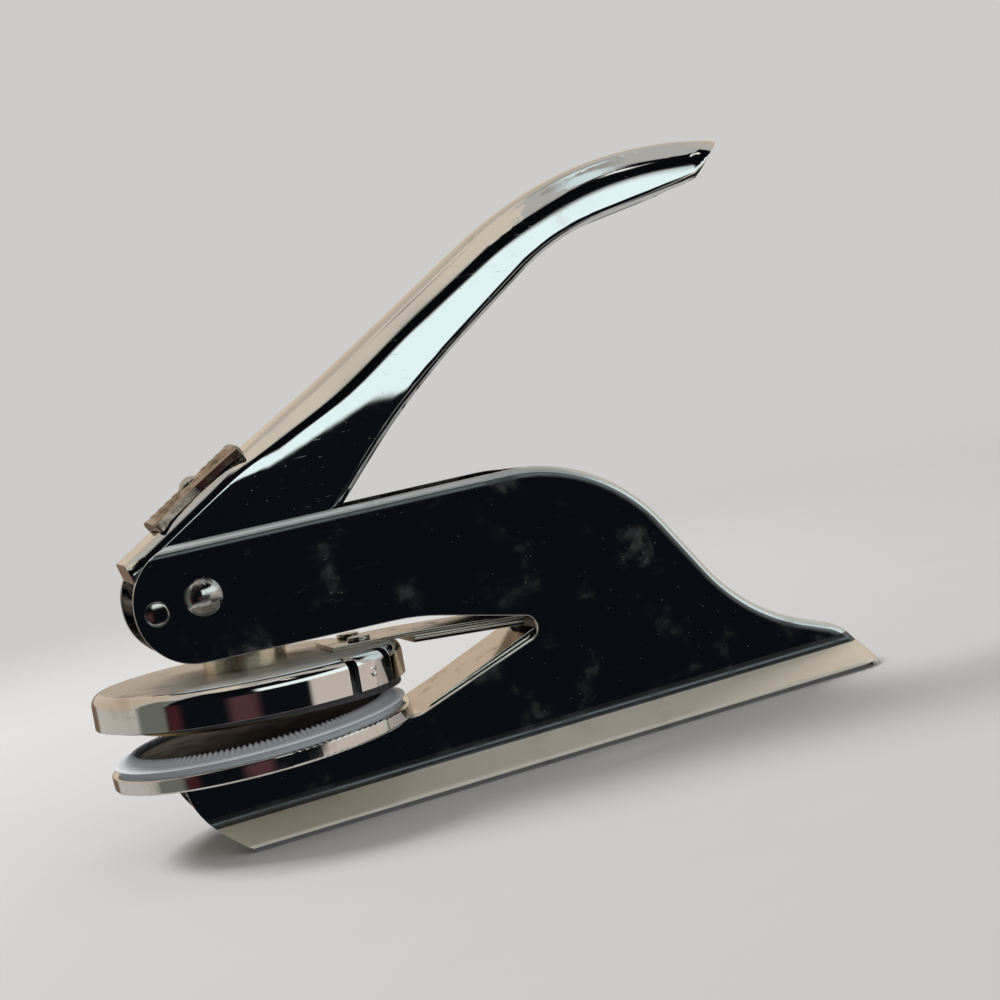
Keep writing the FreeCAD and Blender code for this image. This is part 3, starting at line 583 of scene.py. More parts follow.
def dome(radius: float, base: float, rise: float, steps: int = 10) -> list[Point]:
    """Profile of a spherical cap, from its crown out to its rim.

    Args:
        radius: of the rim.
        base: height of the rim.
        rise: height of the crown over the rim.
        steps: number of segments.

    Returns:
        Points of (radius, height).
    """
    ball = (radius * radius + rise * rise) / (2 * rise)
    middle = base + rise - ball
    reach = math.asin(radius / ball)
    return [(ball * math.sin(reach * k / steps), middle + ball * math.cos(reach * k / steps))
            for k in range(steps + 1)]


def link(name: str, data: bpy.types.ID) -> Object:
    """Put data into the scene as an object.

    Args:
        name: the object's name.
        data: its mesh, light or camera.

    Returns:
        The object.
    """
    item = bpy.data.objects.new(name, data)
    bpy.context.scene.collection.objects.link(item)
    return item


def new_object(name: str, mesh: BMesh, materials: Sequence[Material]) -> Object:
    """Store a mesh as an object of the scene.

    Args:
        name: the object's name.
        mesh: its mesh, freed here.
        materials: its materials, in slot order.

    Returns:
        The object.
    """
    data = bpy.data.meshes.new(name)
    mesh.to_mesh(data)
    mesh.free()
    for material in materials:
        data.materials.append(material)
    return link(name, data)


@dataclass
class Workshop:
    """Turns finished bmeshes into pieces that ride on the frame."""

    frame: dict
    made: list[str] = field(default_factory=list)
    materials: dict[Finish, Material] = field(init=False)

    def __post_init__(self) -> None:
        """Build every finish once."""
        self.materials = {finish: finish.value.build() for finish in Finish}

    def copy(self, node: str) -> BMesh:
        """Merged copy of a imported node, with its flat faces whole again.

        Args:
            node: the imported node's name.

        Returns:
            A closed bmesh in the same place.
        """
        mesh = bmesh.new()
        mesh.from_mesh(self.frame["nodes"][node].data)
        bmesh.ops.remove_doubles(mesh, verts=mesh.verts, dist=2e-6)
        bmesh.ops.dissolve_limit(mesh, angle_limit=math.radians(0.4), verts=mesh.verts,
                                 edges=mesh.edges, use_dissolve_boundaries=False)
        return mesh

    def piece(self, name: str, mesh: BMesh, body: Body, slot: Slot,
              finishes: Sequence[Finish], stands_for: Sequence[str] = (),
              smooth_under: float = 40.0) -> None:
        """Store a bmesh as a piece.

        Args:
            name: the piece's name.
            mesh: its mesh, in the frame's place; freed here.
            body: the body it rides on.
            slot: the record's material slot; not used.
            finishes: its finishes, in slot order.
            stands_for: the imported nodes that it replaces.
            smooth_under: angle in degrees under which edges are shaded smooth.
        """
        limit = math.radians(smooth_under)
        for face in mesh.faces:
            face.smooth = True
        for edge in mesh.edges:
            edge.smooth = len(edge.link_faces) != 2 or edge.calc_face_angle(0.0) < limit
        item = new_object(name, mesh, [self.materials[finish] for finish in finishes])
        weighted = item.modifiers.new("face_normals", "WEIGHTED_NORMAL")
        weighted.keep_sharp = True
        weighted.weight = 100
        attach(item, body.value)
        if stands_for:
            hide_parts(*stands_for)
        self.made.append(name)

    def dress(self, node: str, finish: Finish) -> None:
        """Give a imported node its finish.

        Args:
            node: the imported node's name.
            finish: its only finish.
        """
        slots = self.frame["nodes"][node].data.materials
        slots.clear()
        slots.append(self.materials[finish])
        self.made.append(node)


# ---- Sub-assemblies


@dataclass
class FrameShell:
    """The folded frame: side plates, back web and flared foot."""

    shop: Workshop
    cut_z: float = 6.4
    plate_y: float = 11.0
    foot_y: float = 17.6
    sheet: float = 1.5
    corner: float = 2.0
    foot_corner: float = 5.0
    edge: float = 0.15
    levels: int = 30
    # Corners as (x, z), or (x, z, radius).
    prow: tuple = ((-16.2, 13.5), (-16.2, 7.0, 13.0), (-7.4, 0.0), (-7.0, -0.5))
    tail: tuple = ((89.9, 15.2), (108.6, 7.5, 10.0), (111.8, 0.0), (112.1, -0.6))
    # Corners of the flare's section, as (half width, z) or (half width, z, radius).
    outside: tuple = ((11.0, 6.4), (11.0, 4.95, 1.4), (17.6, 1.2, 0.3), (16.75, 0.0))
    inside: tuple = ((9.5, 6.4), (9.5, 4.2, 1.9), (15.1, 0.0))
    # Sideways slants between which a frame edge gets a painted highlight, then painted shade, up
    # to the flat plates.
    highlight_slant: float = 0.2
    shade_slant: float = 0.88
    flat_slant: float = 0.9985
    # Height over which the flare gets painted shade.
    fold_z: float = 4.5

    def build(self) -> None:
        """Keep the plates above the fold, and roll the flare under them."""
        mesh = self.shop.copy("frame_channel")
        cut = bmesh.ops.bisect_plane(
            mesh, geom=mesh.verts[:] + mesh.edges[:] + mesh.faces[:],
            plane_co=(0, 0, self.cut_z * MM), plane_no=(0, 0, 1), clear_inner=True)
        rim = [item for item in cut["geom_cut"] if isinstance(item, BMEdge)]
        bmesh.ops.edgeloop_fill(mesh, edges=rim)
        ease_edges(mesh, self.edge, wanted=self._off_cut)
        # Faces that lean off the plates get a painted highlight (slot 3) or, nearer flat, painted
        # shade (slot 2).
        for face in mesh.faces:
            slant = abs(face.normal.y)
            if self.highlight_slant < slant < self.flat_slant and face.normal.z > -0.2:
                face.material_index = 3 if slant < self.shade_slant else 2
        absorb(mesh, self._flare())
        self.shop.piece("frame_shell", mesh, Body.FRAME, Slot.BRIGHT_NICKEL,
                        [Finish.FRAME_NICKEL, Finish.FOOT_PAINTED_REFLECTION, Finish.PAINTED_SHADE_EDGE,
                         Finish.PAINTED_HIGHLIGHT_EDGE], ["frame_channel"])

    def _off_cut(self, edge: BMEdge) -> bool:
        """True for an edge that isn't on the seam between plates and flare."""
        return not all(abs(v.co.z - self.cut_z * MM) < 1e-6 for v in edge.verts)

    def _skin(self, mesh: BMesh, profile: Sequence[tuple], inset: float) -> list[list[BMVert]]:
        """One face of the flare's sheet, in level rows from the plates down.

        Args:
            mesh: the mesh that gets the vertices.
            profile: corners of its section, from the plates to the foot.
            inset: how far it lies inside the outer face.

        Returns:
            Rows of vertices, from the near prow round the tail to the far prow.
        """
        prow, tail = rounded(self.prow, step=3.0), rounded(self.tail, step=3.0)
        (knee_x, knee_z, _), (foot_x, _) = self.tail[1:3]
        lean = math.hypot(1.0, (foot_x - knee_x) / knee_z)
        rows = []
        for half, z in resampled(rounded(profile, step=9.0), self.levels):
            share = (half + inset - self.plate_y) / (self.foot_y - self.plate_y)
            share = min(max(share, 0.0), 1.0)
            turn = self.corner + (self.foot_corner - self.corner) * share - inset
            front = crossings(prow, 1, z)[0]
            end = crossings(tail, 1, z)[-1] - inset * lean
            plan = rounded([(front, -half), (end, -half, turn), (end, half, turn),
                            (front, half)], step=9.5)
            rows.append([mesh.verts.new(at(x, y, z)) for x, y in plan])
        return rows

    def _flare(self) -> BMesh:
        """The plates' turned-out lower edge, with a soft fold and a rolled lip.

        Returns:
            A closed bmesh.
        """
        mesh = bmesh.new()
        outer = self._skin(mesh, self.outside, 0.0)
        inner = self._skin(mesh, self.inside, self.sheet)
        sheet_between(mesh, outer + inner[::-1], wrap=True)
        for side in (0, -1):
            sheet_between(mesh, [[row[side] for row in outer], [row[side] for row in inner]])
        bmesh.ops.recalc_face_normals(mesh, faces=mesh.faces)
        ease_edges(mesh, self.edge, sharper_than=45.0, wanted=self._off_cut)
        # The flare above its fold and its downward cut edge get painted shade (slot 2); the rest
        # gets the foot's painted cream reflection (slot 1).
        for face in mesh.faces:
            height = face.calc_center_median().z / MM
            face.material_index = 2 if height > self.fold_z or face.normal.z < -0.3 else 1
        return mesh


@dataclass
class LeverShell:
    """The folded lever: upright walls at the root, rolled in towards the spine at the grip.

    Each Ease runs along the lever, in millimetres from the die axis, where no other is named.
    """

    shop: Workshop
    half_width: float = 9.0
    tip_x: float = 109.6
    tip_round: float = 8.0
    edge: float = 0.2
    # Corners from the side, as (x, z) or (x, z, radius).
    corners: tuple = (
        (-16.6, 50.9), (75.7, 104.2, 75.0), (109.6, 101.2), (108.9, 96.4, 4.0),
        (103.2, 94.1, 8.0), (70.8, 88.9, 45.0), (38.2, 67.6, 150.0), (4.2, 34.8, 3.4),
        (-10.7, 38.8, 5.2), (-10.7, 44.2), (-15.0, 44.2), (-16.6, 50.9))
    # Where the sheet is cut, so that it can bend: across, lengthwise, and under the spine.
    strips: tuple = (*(-15.6 + 2.4 * k for k in range(48)), *(100.2 + 0.9 * k for k in range(11)))
    lengthwise: tuple = (0.9, 2.6, 4.2, 5.4, 6.3, 7.1, 7.8, 8.4)
    depths: tuple = (0.5, 1.0, 1.6, 2.3, 3.1, 4.0, 5.2, 6.8, 8.8, 11.0, 14.0)
    slope_range: Point = (-15.0, 108.4)
    bent_from: float = -15.7
    tip_from: float = 100.5
    # Radius of the sheet's corner, and what it loses at the tip.
    corner: Ease = Ease(2.0, 12.0, 2.6, 4.5)
    corner_loss: Ease = Ease(98.0, 106.0)
    # How far down the wall it leans, over the shank and over the grip, and by how much.
    reach: Ease = Ease(12.0, 28.0, 6.5, 9.0)
    grip: Ease = Ease(27.0, 43.0)
    least_wall: float = 11.0
    shank_lean: Ease = Ease(5.0, 14.0, 0.0, 1.2)
    grip_lean: Ease = Ease(14.0, 40.0, 0.0, 1.1)
    lean_power: float = 1.6
    grip_power: float = 1.1
    full_lean_y: float = 7.0
    # Arch and dip of the spine, which fade with the depth under it.
    arch: Ease = Ease(9.0, 28.0, 0.0, 2.0)
    dip: Ease = Ease(9.0, 28.0, 0.0, 0.5)
    dip_end: Ease = Ease(55.0, 85.0, 1.0, 0.0)
    upper: Ease = Ease(1.0, 8.0, 1.0, 0.0)
    # The inner face, by the distance from the outer one, and how far its lip is drawn in.
    inner: Ease = Ease(1.0, 1.3)
    lip: float = 0.6
    lip_back: float = 0.2
    lip_rise: float = 0.3
    tip: Ease = Ease(99.0, 109.6)
    tip_back: float = 1.2
    tip_thin: float = 0.78
    tip_passes: int = 6

    def build(self) -> None:
        """Cut the sheet into strips, bend them, and dress it."""
        mesh = self.shop.copy("lever_channel")
        ease_edges(mesh, self.edge)
        outline = rounded(self.corners, step=2.0)
        self._cut(mesh, outline)
        for vert in mesh.verts:
            x = vert.co.x / MM - DIE_X
            if x > self.bent_from:
                self._bend(vert, x, crossings(outline, 0, min(x, self.tip_x - 0.1)),
                           self._slope(outline, x))
        tip = [vert for vert in mesh.verts if vert.co.x / MM - DIE_X > self.tip_from]
        for _ in range(self.tip_passes):
            bmesh.ops.smooth_vert(mesh, verts=tip, factor=0.5, use_axis_x=True,
                                  use_axis_y=True, use_axis_z=True)
        self.shop.piece("lever_shell", mesh, Body.LEVER, Slot.BRIGHT_NICKEL,
                        [Finish.LEVER_NICKEL], ["lever_channel"])

    def _slope(self, outline: Sequence[Point], x: float) -> float:
        """Slope of the spine.

        Args:
            outline: the lever's outline from the side.
            x: the place along the lever, from the die axis.

        Returns:
            An angle in radians.
        """
        low, high = self.slope_range
        x = min(max(x, low), high)
        rise = crossings(outline, 0, x + 1.0)[-1] - crossings(outline, 0, x - 1.0)[-1]
        return math.atan2(rise, 2.0)

    def _cut(self, mesh: BMesh, outline: Sequence[Point]) -> None:
        """Cut the sheet across, lengthwise and level with the spine, so that it can bend.

        Args:
            mesh: the lever's mesh, changed in place.
            outline: its outline from the side.
        """
        planes = [(at(x, 0, 0), (1, 0, 0)) for x in self.strips]
        planes += [(at(0, side * y, 0), (0, 1, 0)) for side in (-1, 1) for y in self.lengthwise]
        for spot, normal in planes:
            bmesh.ops.bisect_plane(mesh, geom=mesh.verts[:] + mesh.edges[:] + mesh.faces[:],
                                   plane_co=spot, plane_no=normal, dist=2e-6)
        for start, end in zip(self.strips, self.strips[1:]):
            faces = [face for face in mesh.faces
                     if start < face.calc_center_median().x / MM - DIE_X < end]
            geom = faces + list({edge for face in faces for edge in face.edges})
            geom += list({vert for face in faces for vert in face.verts})
            tops = [(crossings(outline, 0, x)[-1], math.cos(self._slope(outline, x)))
                    for x in (start, end)]
            for deep in self.depths:
                low, high = (top - deep / level for top, level in tops)
                geom = bmesh.ops.bisect_plane(
                    mesh, geom=geom, plane_co=at(start, 0, low),
                    plane_no=(low - high, 0, end - start), dist=4e-6)["geom"]

    def _bend(self, vert: BMVert, x: float, span: Sequence[float], slope: float) -> None:
        """Round the sheet over its corner, then lean its wall and arch its spine.

        Args:
            vert: the vertex, moved in place.
            x: its place along the lever, from the die axis.
            span: heights of the outline there.
            slope: slope of the spine there.
        """
        y, z = vert.co.y / MM, vert.co.z / MM
        top, wall = span[-1], span[-1] - span[0]
        deep = max((top - z) * math.cos(slope), 0.0)
        radius = self.corner.at(x) - self.corner_loss.at(x)
        # Inset from the rim, which is straight along the walls and round at the tip.
        along = x - (self.tip_x - self.tip_round)
        out = Vector((max(along, 0.0), abs(y) - (self.half_width - self.tip_round)))
        if along > 0.0 and out.y <= 0.0:
            out = Vector((along, 0.0))
        inset = self.tip_round - out.length
        # The square corner between spine and wall is mapped onto a disc's quarter.
        u = min(max(1 - inset / radius, 0.0), 1.0)
        v = min(max(1 - deep / radius, 0.0), 1.0)
        back = radius * u * (1 - math.sqrt(1 - v * v / 2))
        sink = radius * v * (1 - math.sqrt(1 - u * u / 2))
        if back:
            out.normalize()
            vert.co.x -= out.x * back * MM
            y -= math.copysign(out.y * back, y)
        vert.co.x += sink * math.sin(slope) * MM
        z -= sink * math.cos(slope)
        deep += sink
        # The wall leans in, most of all at the spine.
        grip, reach = self.grip.at(x), self.reach.at(x)
        reach += (max(wall * math.cos(slope), self.least_wall) - reach) * grip
        lean = self.shank_lean.at(x) + self.grip_lean.at(x)
        power = self.lean_power + (self.grip_power - self.lean_power) * grip
        lean *= max(1 - deep / reach, 0.0) ** power
        y -= math.copysign(lean * min(abs(y) / self.full_lean_y, 1.0), y)
        # The spine arches over the grip, and thins at the tip.
        upper = self.upper.at(deep)
        inner = self.inner.at(inset) * (top - z > wall - self.lip) * grip
        drop = upper * (self.arch.at(x) * (y / self.half_width) ** 2
                        + self.dip.at(x) * self.dip_end.at(x))
        tip = self.tip.at(x)
        vert.co.x -= (self.tip_back * tip + self.lip_back * inner) * MM
        vert.co.y = y * MM
        z += self.lip_rise * inner
        vert.co.z = (z - drop + self.tip_thin * tip * max(top - z, 0.0)) * MM


@dataclass
class Pins:
    """The pivot's domed rivet and the stop pin, across both plates."""

    shop: Workshop
    face: float = 11.0
    head_radius: float = 3.25
    head_rise: float = 1.9
    shank_radius: float = 2.0
    # The stop pin's end, as (radius, depth under the face).
    end: tuple = ((0.0, 0.0), (1.75, 0.01), (1.9, 0.07), (1.99, 0.2))

    def build(self) -> None:
        """Turn both about the Z axis and lay them across."""
        head = dome(self.head_radius, self.face, self.head_rise, 14)
        head.append((self.shank_radius, self.face))
        self.shop.piece("pivot_rivet_domed", self._pin(head, 64, PIVOT), Body.FRAME,
                        Slot.BRIGHT_NICKEL, [Finish.RIVET_NICKEL], ["lever_pivot_rivet"])
        end = [(r, self.face - deep) for r, deep in self.end]
        self.shop.piece("stop_pin_turned", self._pin(end, 48, STOP), Body.FRAME,
                        Slot.PLAIN_STEEL, [Finish.TURNED_STEEL], ["stop_pin"])

    def _pin(self, end: list[Point], steps: int, spot: Point) -> BMesh:
        """Pin with two equal ends that lies across the frame.

        Args:
            end: profile of one end, from the axis out.
            steps: segments round the axis.
            spot: its (x, z).

        Returns:
            A closed bmesh.
        """
        return turned_solid(end + [(r, -z) for r, z in reversed(end)], steps,
                            Matrix.Translation(at(spot[0], 0, spot[1]))
                            @ Matrix.Rotation(math.radians(90), 4, "X"))


@dataclass
class ToothedRing:
    """The plastic ring that grips the counter die: a ring of small teeth on a sloping band."""

    shop: Workshop
    teeth: int = 144
    steps: int = 6
    gap_depth: float = 0.5
    gap_set_back: float = 0.22

    def build(self) -> None:
        """Sweep the ring's section round, raising and sinking its crown at each tooth."""
        mesh = bmesh.new()
        rows = []
        count = self.teeth * self.steps
        for i in range(count):
            phase = (i % self.steps) / self.steps
            tooth = 1 - abs(2 * phase - 1)
            angle = math.tau * i / count
            row = [mesh.verts.new(at(r * math.cos(angle), r * math.sin(angle), z))
                   for r, z in self._section(tooth)]
            rows.append(row + row[:1])
        sheet_between(mesh, rows, wrap=True)
        bmesh.ops.recalc_face_normals(mesh, faces=mesh.faces)
        self.shop.piece("counter_die_ring_toothed", mesh, Body.FRAME, Slot.PALE_PLASTIC,
                        [Finish.PALE_PLASTIC], ["counter_die_ring"], smooth_under=50.0)

    def _section(self, tooth: float) -> list[Point]:
        """Section of the ring, from the bore's foot over the crown and down the outside.

        Args:
            tooth: 1 on a tooth's ridge, 0 in the gap beside it.

        Returns:
            Points of (radius, height).
        """
        sink = self.gap_depth * (1 - tooth)
        back = self.gap_set_back * (1 - tooth)
        return [(22.0, 14.7), (22.0, 18.5 - sink), (22.12, 18.6 - sink), (22.7, 18.5 - sink),
                (23.2 - back, 18.2 - 0.6 * sink), (23.9 - back, 17.85 - 0.25 * sink),
                (24.5, 17.66), (25.4, 17.5), (25.72, 17.38), (25.8, 17.2), (25.7, 17.06),
                (24.5, 17.0), (24.4, 16.9), (24.4, 16.1), (25.1, 16.0), (25.1, 14.7)]


@dataclass
class Cap:
    """The sheet cap over the upper die, with a satin top and a bright rolled wall."""

    shop: Workshop
    radius: float = 27.1
    roll: float = 3.2
    roll_z: float = 22.25
    tighter: float = 1.2
    slack: float = -0.05  # how far before the corner a vertex still counts as on it
    edge: float = 0.3
    level: float = 0.995  # cosine of the lean within which a face is part of the flat top
    tab_angle: float = 48.75
    dimple_z: float = 22.3
    # Section of a punched dimple, as (radius, height over the wall).
    dimple: tuple = ((0, -0.3), (0, -0.12), (0.3, -0.06), (0.5, 0.06), (0.62, 0.1),
                     (0.78, 0.05), (0.95, -0.02), (0.95, -0.3))

    def build(self) -> None:
        """Ease the cap's edges, split its finish, and punch the tabs' dimples."""
        mesh = self.shop.copy("upper_die_cap")
        ease_edges(mesh, self.edge, segments=3)
        self._tighten(mesh)
        up = OPENED.to_3x3() @ Vector((0, 0, 1))
        for face in mesh.faces:
            if face.normal.dot(up) > self.level:
                face.material_index = 1
        self.shop.piece("upper_die_cap_rolled", mesh, Body.UPPER_DIE, Slot.CHROME_CUP,
                        [Finish.CUP_CHROME, Finish.CUP_TOP], ["upper_die_cap"],
                        smooth_under=50.0)
        for name, sign in (("near", -1), ("far", 1)):
            angle = math.radians(sign * self.tab_angle)
            spot = at(self.radius * math.cos(angle), self.radius * math.sin(angle), self.dimple_z)
            out = Matrix.Rotation(angle, 4, "Z") @ Matrix.Rotation(math.radians(90), 4, "Y")
            crater = turned_solid(self.dimple, 32, OPENED @ Matrix.Translation(spot) @ out)
            self.shop.piece(f"tab_dimple_{name}", crater, Body.UPPER_DIE, Slot.CHROME_CUP,
                            [Finish.CUP_CHROME])

    def _tighten(self, mesh: BMesh) -> None:
        """Move the rolled corner out, so that it turns more tightly at the same wall.

        Args:
            mesh: the cap, changed in place.
        """
        closed = OPENED.inverted()
        for vert in mesh.verts:
            spot = closed @ vert.co / MM
            across = Vector((spot.x - DIE_X, spot.y))
            over = Vector((across.length - (self.radius - self.roll), spot.z - self.roll_z))
            if min(over) > self.slack:
                over -= over.normalized() * self.tighter
                across *= (self.radius - self.roll + self.tighter + over.x) / across.length
                vert.co = OPENED @ at(across.x, across.y, self.roll_z + self.tighter + over.y)


@dataclass
class Badge:
    """The waisted, arched plate on the lever's spine, with a cast ribbed face."""

    shop: Workshop
    length: float = 19.6
    half_end: float = 8.45
    half_waist: float = 5.8
    lift: float = 0.3
    thick: float = 2.0
    along: int = 150
    across: int = 96
    from_lip: float = 8.1
    head_radius: float = 1.9
    head_rise: float = 0.95
    shank_radius: float = 1.1
    washer_radius: float = 2.6
    grip: float = 1.5  # the lever's sheet under the washer
    upset: float = 0.45
    waist_power: float = 1.35
    # Share of the half length from which the ends draw in, and by how much.
    ends_from: float = 0.93
    ends_in: float = 0.9
    # Drops of the face to the sides and the ends, of the sole, and of its outer edge.
    side_drop: float = 1.0
    end_drop: float = 0.1
    sole_drop: float = 0.22
    sole_edge: Ease = Ease(7.3, 8.4, 0.0, 0.4)
    face_sink: float = 0.1
    flute: float = 0.05
    # The cast pattern, by shares of the half width and the half length.
    rim_sides: Ease = Ease(0.88, 0.93)
    rim_ends: Ease = Ease(0.93, 0.96)
    panel_start: Ease = Ease(0.24, 0.3)
    panel_end: Ease = Ease(0.84, 0.9, 1.0, 0.0)
    panel_sides: Ease = Ease(0.74, 0.82, 1.0, 0.0)
    rim_rise: float = 0.12
    rib_rise: float = 0.22
    panel_sink: float = 0.14
    rib_step: float = 0.95
    bar_step: float = 1.7

    def build(self) -> None:
        """Cast the plate and dome its rivet, then lay both on the straight of the spine."""
        (lip_x, lip_z), (bend_x, bend_z, _) = LeverShell.corners[:2]
        turn = math.atan2(bend_z - lip_z, bend_x - lip_x)
        reach = self.from_lip + self.length / 2
        spot = at(lip_x + reach * math.cos(turn), 0, lip_z + reach * math.sin(turn))
        place = Matrix.Translation(spot) @ Matrix.Rotation(-turn, 4, "Y")
        mesh = self._plate()
        bmesh.ops.transform(mesh, matrix=place, verts=mesh.verts)
        self.shop.piece("badge_cast", mesh, Body.LEVER, Slot.WARM_NICKEL,
                        [Finish.WARM_NICKEL], ["badge_plate"], smooth_under=60.0)
        top = self.lift + self.thick
        head, shank, washer = self.head_radius, self.shank_radius, self.washer_radius
        foot = -self.grip - self.upset
        rivet = dome(head, top - 0.1, self.head_rise) + [
            (head, top - 0.4), (shank, top - 0.4), (shank, self.lift), (washer, self.lift),
            (washer, 0.0), (shank, 0.0), (shank, -self.grip), (head, -self.grip), (head, foot),
            (0.0, foot)]
        self.shop.piece("badge_rivet_domed", turned_solid(rivet, 48, place), Body.LEVER,
                        Slot.WARM_NICKEL, [Finish.RIVET_NICKEL], ["badge_rivet"])

    def _half(self, u: float) -> float:
        """Half the plate's width.

        Args:
            u: the place along the plate, from its middle.

        Returns:
            Half the width in millimetres.
        """
        share = min(abs(u) / (self.length / 2), 1.0)
        waist = self.half_waist + (self.half_end - self.half_waist) * share ** self.waist_power
        inset = max(share - self.ends_from, 0.0) / (1 - self.ends_from)
        return waist - self.ends_in * inset ** 3

    def _relief(self, u: float, v: float) -> float:
        """Height of the cast pattern over the arched face.

        Args:
            u: along the plate, from its middle.
            v: share of the half width, -1 to 1.

        Returns:
            Height in millimetres.
        """
        end, side = abs(u) / (self.length / 2), abs(v)
        rim = max(self.rim_sides.at(side), self.rim_ends.at(end))
        panel = self.panel_start.at(end) * self.panel_end.at(end) * self.panel_sides.at(side)
        ribs = 0.5 + 0.5 * math.sin(v * self._half(u) * math.tau / self.rib_step)
        bars = 0.5 + 0.5 * math.sin(u * math.tau / self.bar_step)
        pattern = self.rib_rise * ribs * (0.5 + 0.5 * bars) - self.panel_sink
        return self.rim_rise * rim + panel * pattern

    def _plate(self) -> BMesh:
        """The plate about its own middle.

        Returns:
            A closed bmesh.
        """
        mesh = bmesh.new()
        tops, feet = [], []
        for i in range(self.along + 1):
            u = self.length * (i / self.along - 0.5)
            half = self._half(u)
            top, foot = [], []
            for j in range(self.across + 1):
                v = 2 * j / self.across - 1
                arch = (self.thick - self.face_sink - self.side_drop * v * v
                        - self.end_drop * abs(2 * u / self.length) ** 4)
                y = v * (half - self.flute * (i % 2) * (abs(v) == 1.0))
                top.append(mesh.verts.new((
                    u * MM, y * MM, (self.lift + arch + self._relief(u, v)) * MM)))
                sole = self.lift - self.sole_drop * v * v - self.sole_edge.at(abs(y))
                foot.append(mesh.verts.new((u * MM, y * MM, sole * MM)))
            tops.append(top)
            feet.append(foot[::-1])
        sheet_between(mesh, tops)
        sheet_between(mesh, feet)
        for k in (0, -1):
            sheet_between(mesh, [tops[k], feet[k][::-1]])
            sheet_between(mesh, [[row[k] for row in tops], [row[-1 - k] for row in feet]])
        bmesh.ops.recalc_face_normals(mesh, faces=mesh.faces)
        return mesh


@dataclass
class SpringLeaves:
    """The thin strips from the cap into the throat's root, each a stack of rolled sheets."""

    shop: Workshop
    cap_top: float = 25.45
    bend_x: float = 28.0
    root_x: float = 49.0
    edge: float = 0.1

    def build(self) -> None:
        """Stack the sheets, open them with the upper die, and dress them."""
        self._stack("upper_leaf", 14.0, 0.0, ((0.0, 0.36, 7.55), (0.4, 0.8, 8.0)))
        self._stack("upper_leaf_backing", 28.6, -1.3,
                    ((0.0, 0.55, 7.2), (0.6, 0.92, 8.0), (0.96, 1.26, 7.6)))

    def _stack(self, node: str, front: float, rise: float, sheets: Sequence[tuple]) -> None:
        """One stack of sheets.

        Args:
            node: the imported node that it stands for.
            front: where its front end is, from the die axis.
            rise: height of its underside over the leaf's.
            sheets: low and high face and half width of each sheet.
        """
        mesh = bmesh.new()
        fall = (HINGE[1] - self.cap_top) / (self.root_x - self.bend_x)
        line = [(front, self.cap_top + min(0.0, fall * (front - self.bend_x))),
                (self.root_x, HINGE[1])]
        if front < self.bend_x:
            line.insert(1, (self.bend_x, self.cap_top))
        for low, high, half in sheets:
            side = [(x, z + rise + low) for x, z in line]
            side += [(x, z + rise + high) for x, z in reversed(line)]
            absorb(mesh, slab(side, half, self.edge))
        bmesh.ops.transform(mesh, matrix=OPENED, verts=mesh.verts)
        self.shop.piece(f"{node}_sheets", mesh, Body.UPPER_DIE, Slot.SATIN_STEEL,
                        [Finish.SPRING_STRIP], [node])


@dataclass
class SmallParts:
    """Small rigid nodes whose shape is right: some get eased edges, the others only a finish."""

    shop: Workshop
    edge: float = 0.12
    eased: tuple = (
        ("lower_die_holder", Body.FRAME, Slot.CHROME_CUP, Finish.CUP_CHROME,
         Finish.PLAIN_UNDERSIDE),
        ("lower_leaf", Body.FRAME, Slot.SATIN_STEEL, Finish.SPRING_STRIP),
        ("upper_die_body", Body.UPPER_DIE, Slot.DARK_PLASTIC, Finish.DARK_PLASTIC),
        ("plunger_boss", Body.UPPER_DIE, Slot.WARM_NICKEL, Finish.BOSS_NICKEL),
        ("leaf_rivets", Body.UPPER_DIE, Slot.PLAIN_STEEL, Finish.TURNED_STEEL))
    plain: tuple = (
        (Finish.TURNED_STEEL, "pivot_washers", "lower_holder_rivets", "boss_stud",
         "pivot_bush", "cam_pin", "cam_roller"),
        (Finish.OILED_STEEL, "leaf_anchor"), (Finish.COUNTER_RESIN, "counter_die_plate"),
        (Finish.SEAL_BRASS, "upper_die_plate"))

    def build(self) -> None:
        """Copy, ease and dress each node; a second finish goes on its downward faces."""
        for node, body, slot, *finishes in self.eased:
            mesh = self.shop.copy(node)
            ease_edges(mesh, self.edge)
            for face in mesh.faces:
                if len(finishes) > 1 and face.normal.z < -0.9:
                    face.material_index = 1
            self.shop.piece(f"{node}_eased", mesh, body, slot, finishes, [node])
        for finish, *nodes in self.plain:
            for node in nodes:
                self.shop.dress(node, finish)


# ---- Studio


@dataclass(frozen=True)
class Panel:
    """One soft-edged area of the reflection dome, in degrees.

    Azimuth runs from -Y towards +X, elevation up from the horizon.
    """

    azimuth: float
    half_width: float
    low: float
    high: float
    colour: str
    gain: float = 1.0
    soft: float = 4.0

    def cover(self, azimuth: float, elevation: float) -> float:
        """How much of the panel covers a direction.

        Args:
            azimuth: of the direction.
            elevation: of the direction.

        Returns:
            0 outside to 1 inside.
        """
        away = abs((azimuth - self.azimuth + 180) % 360 - 180)
        across = 1 - smooth_step(self.half_width - self.soft, self.half_width + self.soft, away)
        above = smooth_step(self.low - self.soft, self.low + self.soft, elevation)
        below = 1 - smooth_step(self.high - self.soft, self.high + self.soft, elevation)
        return across * above * below


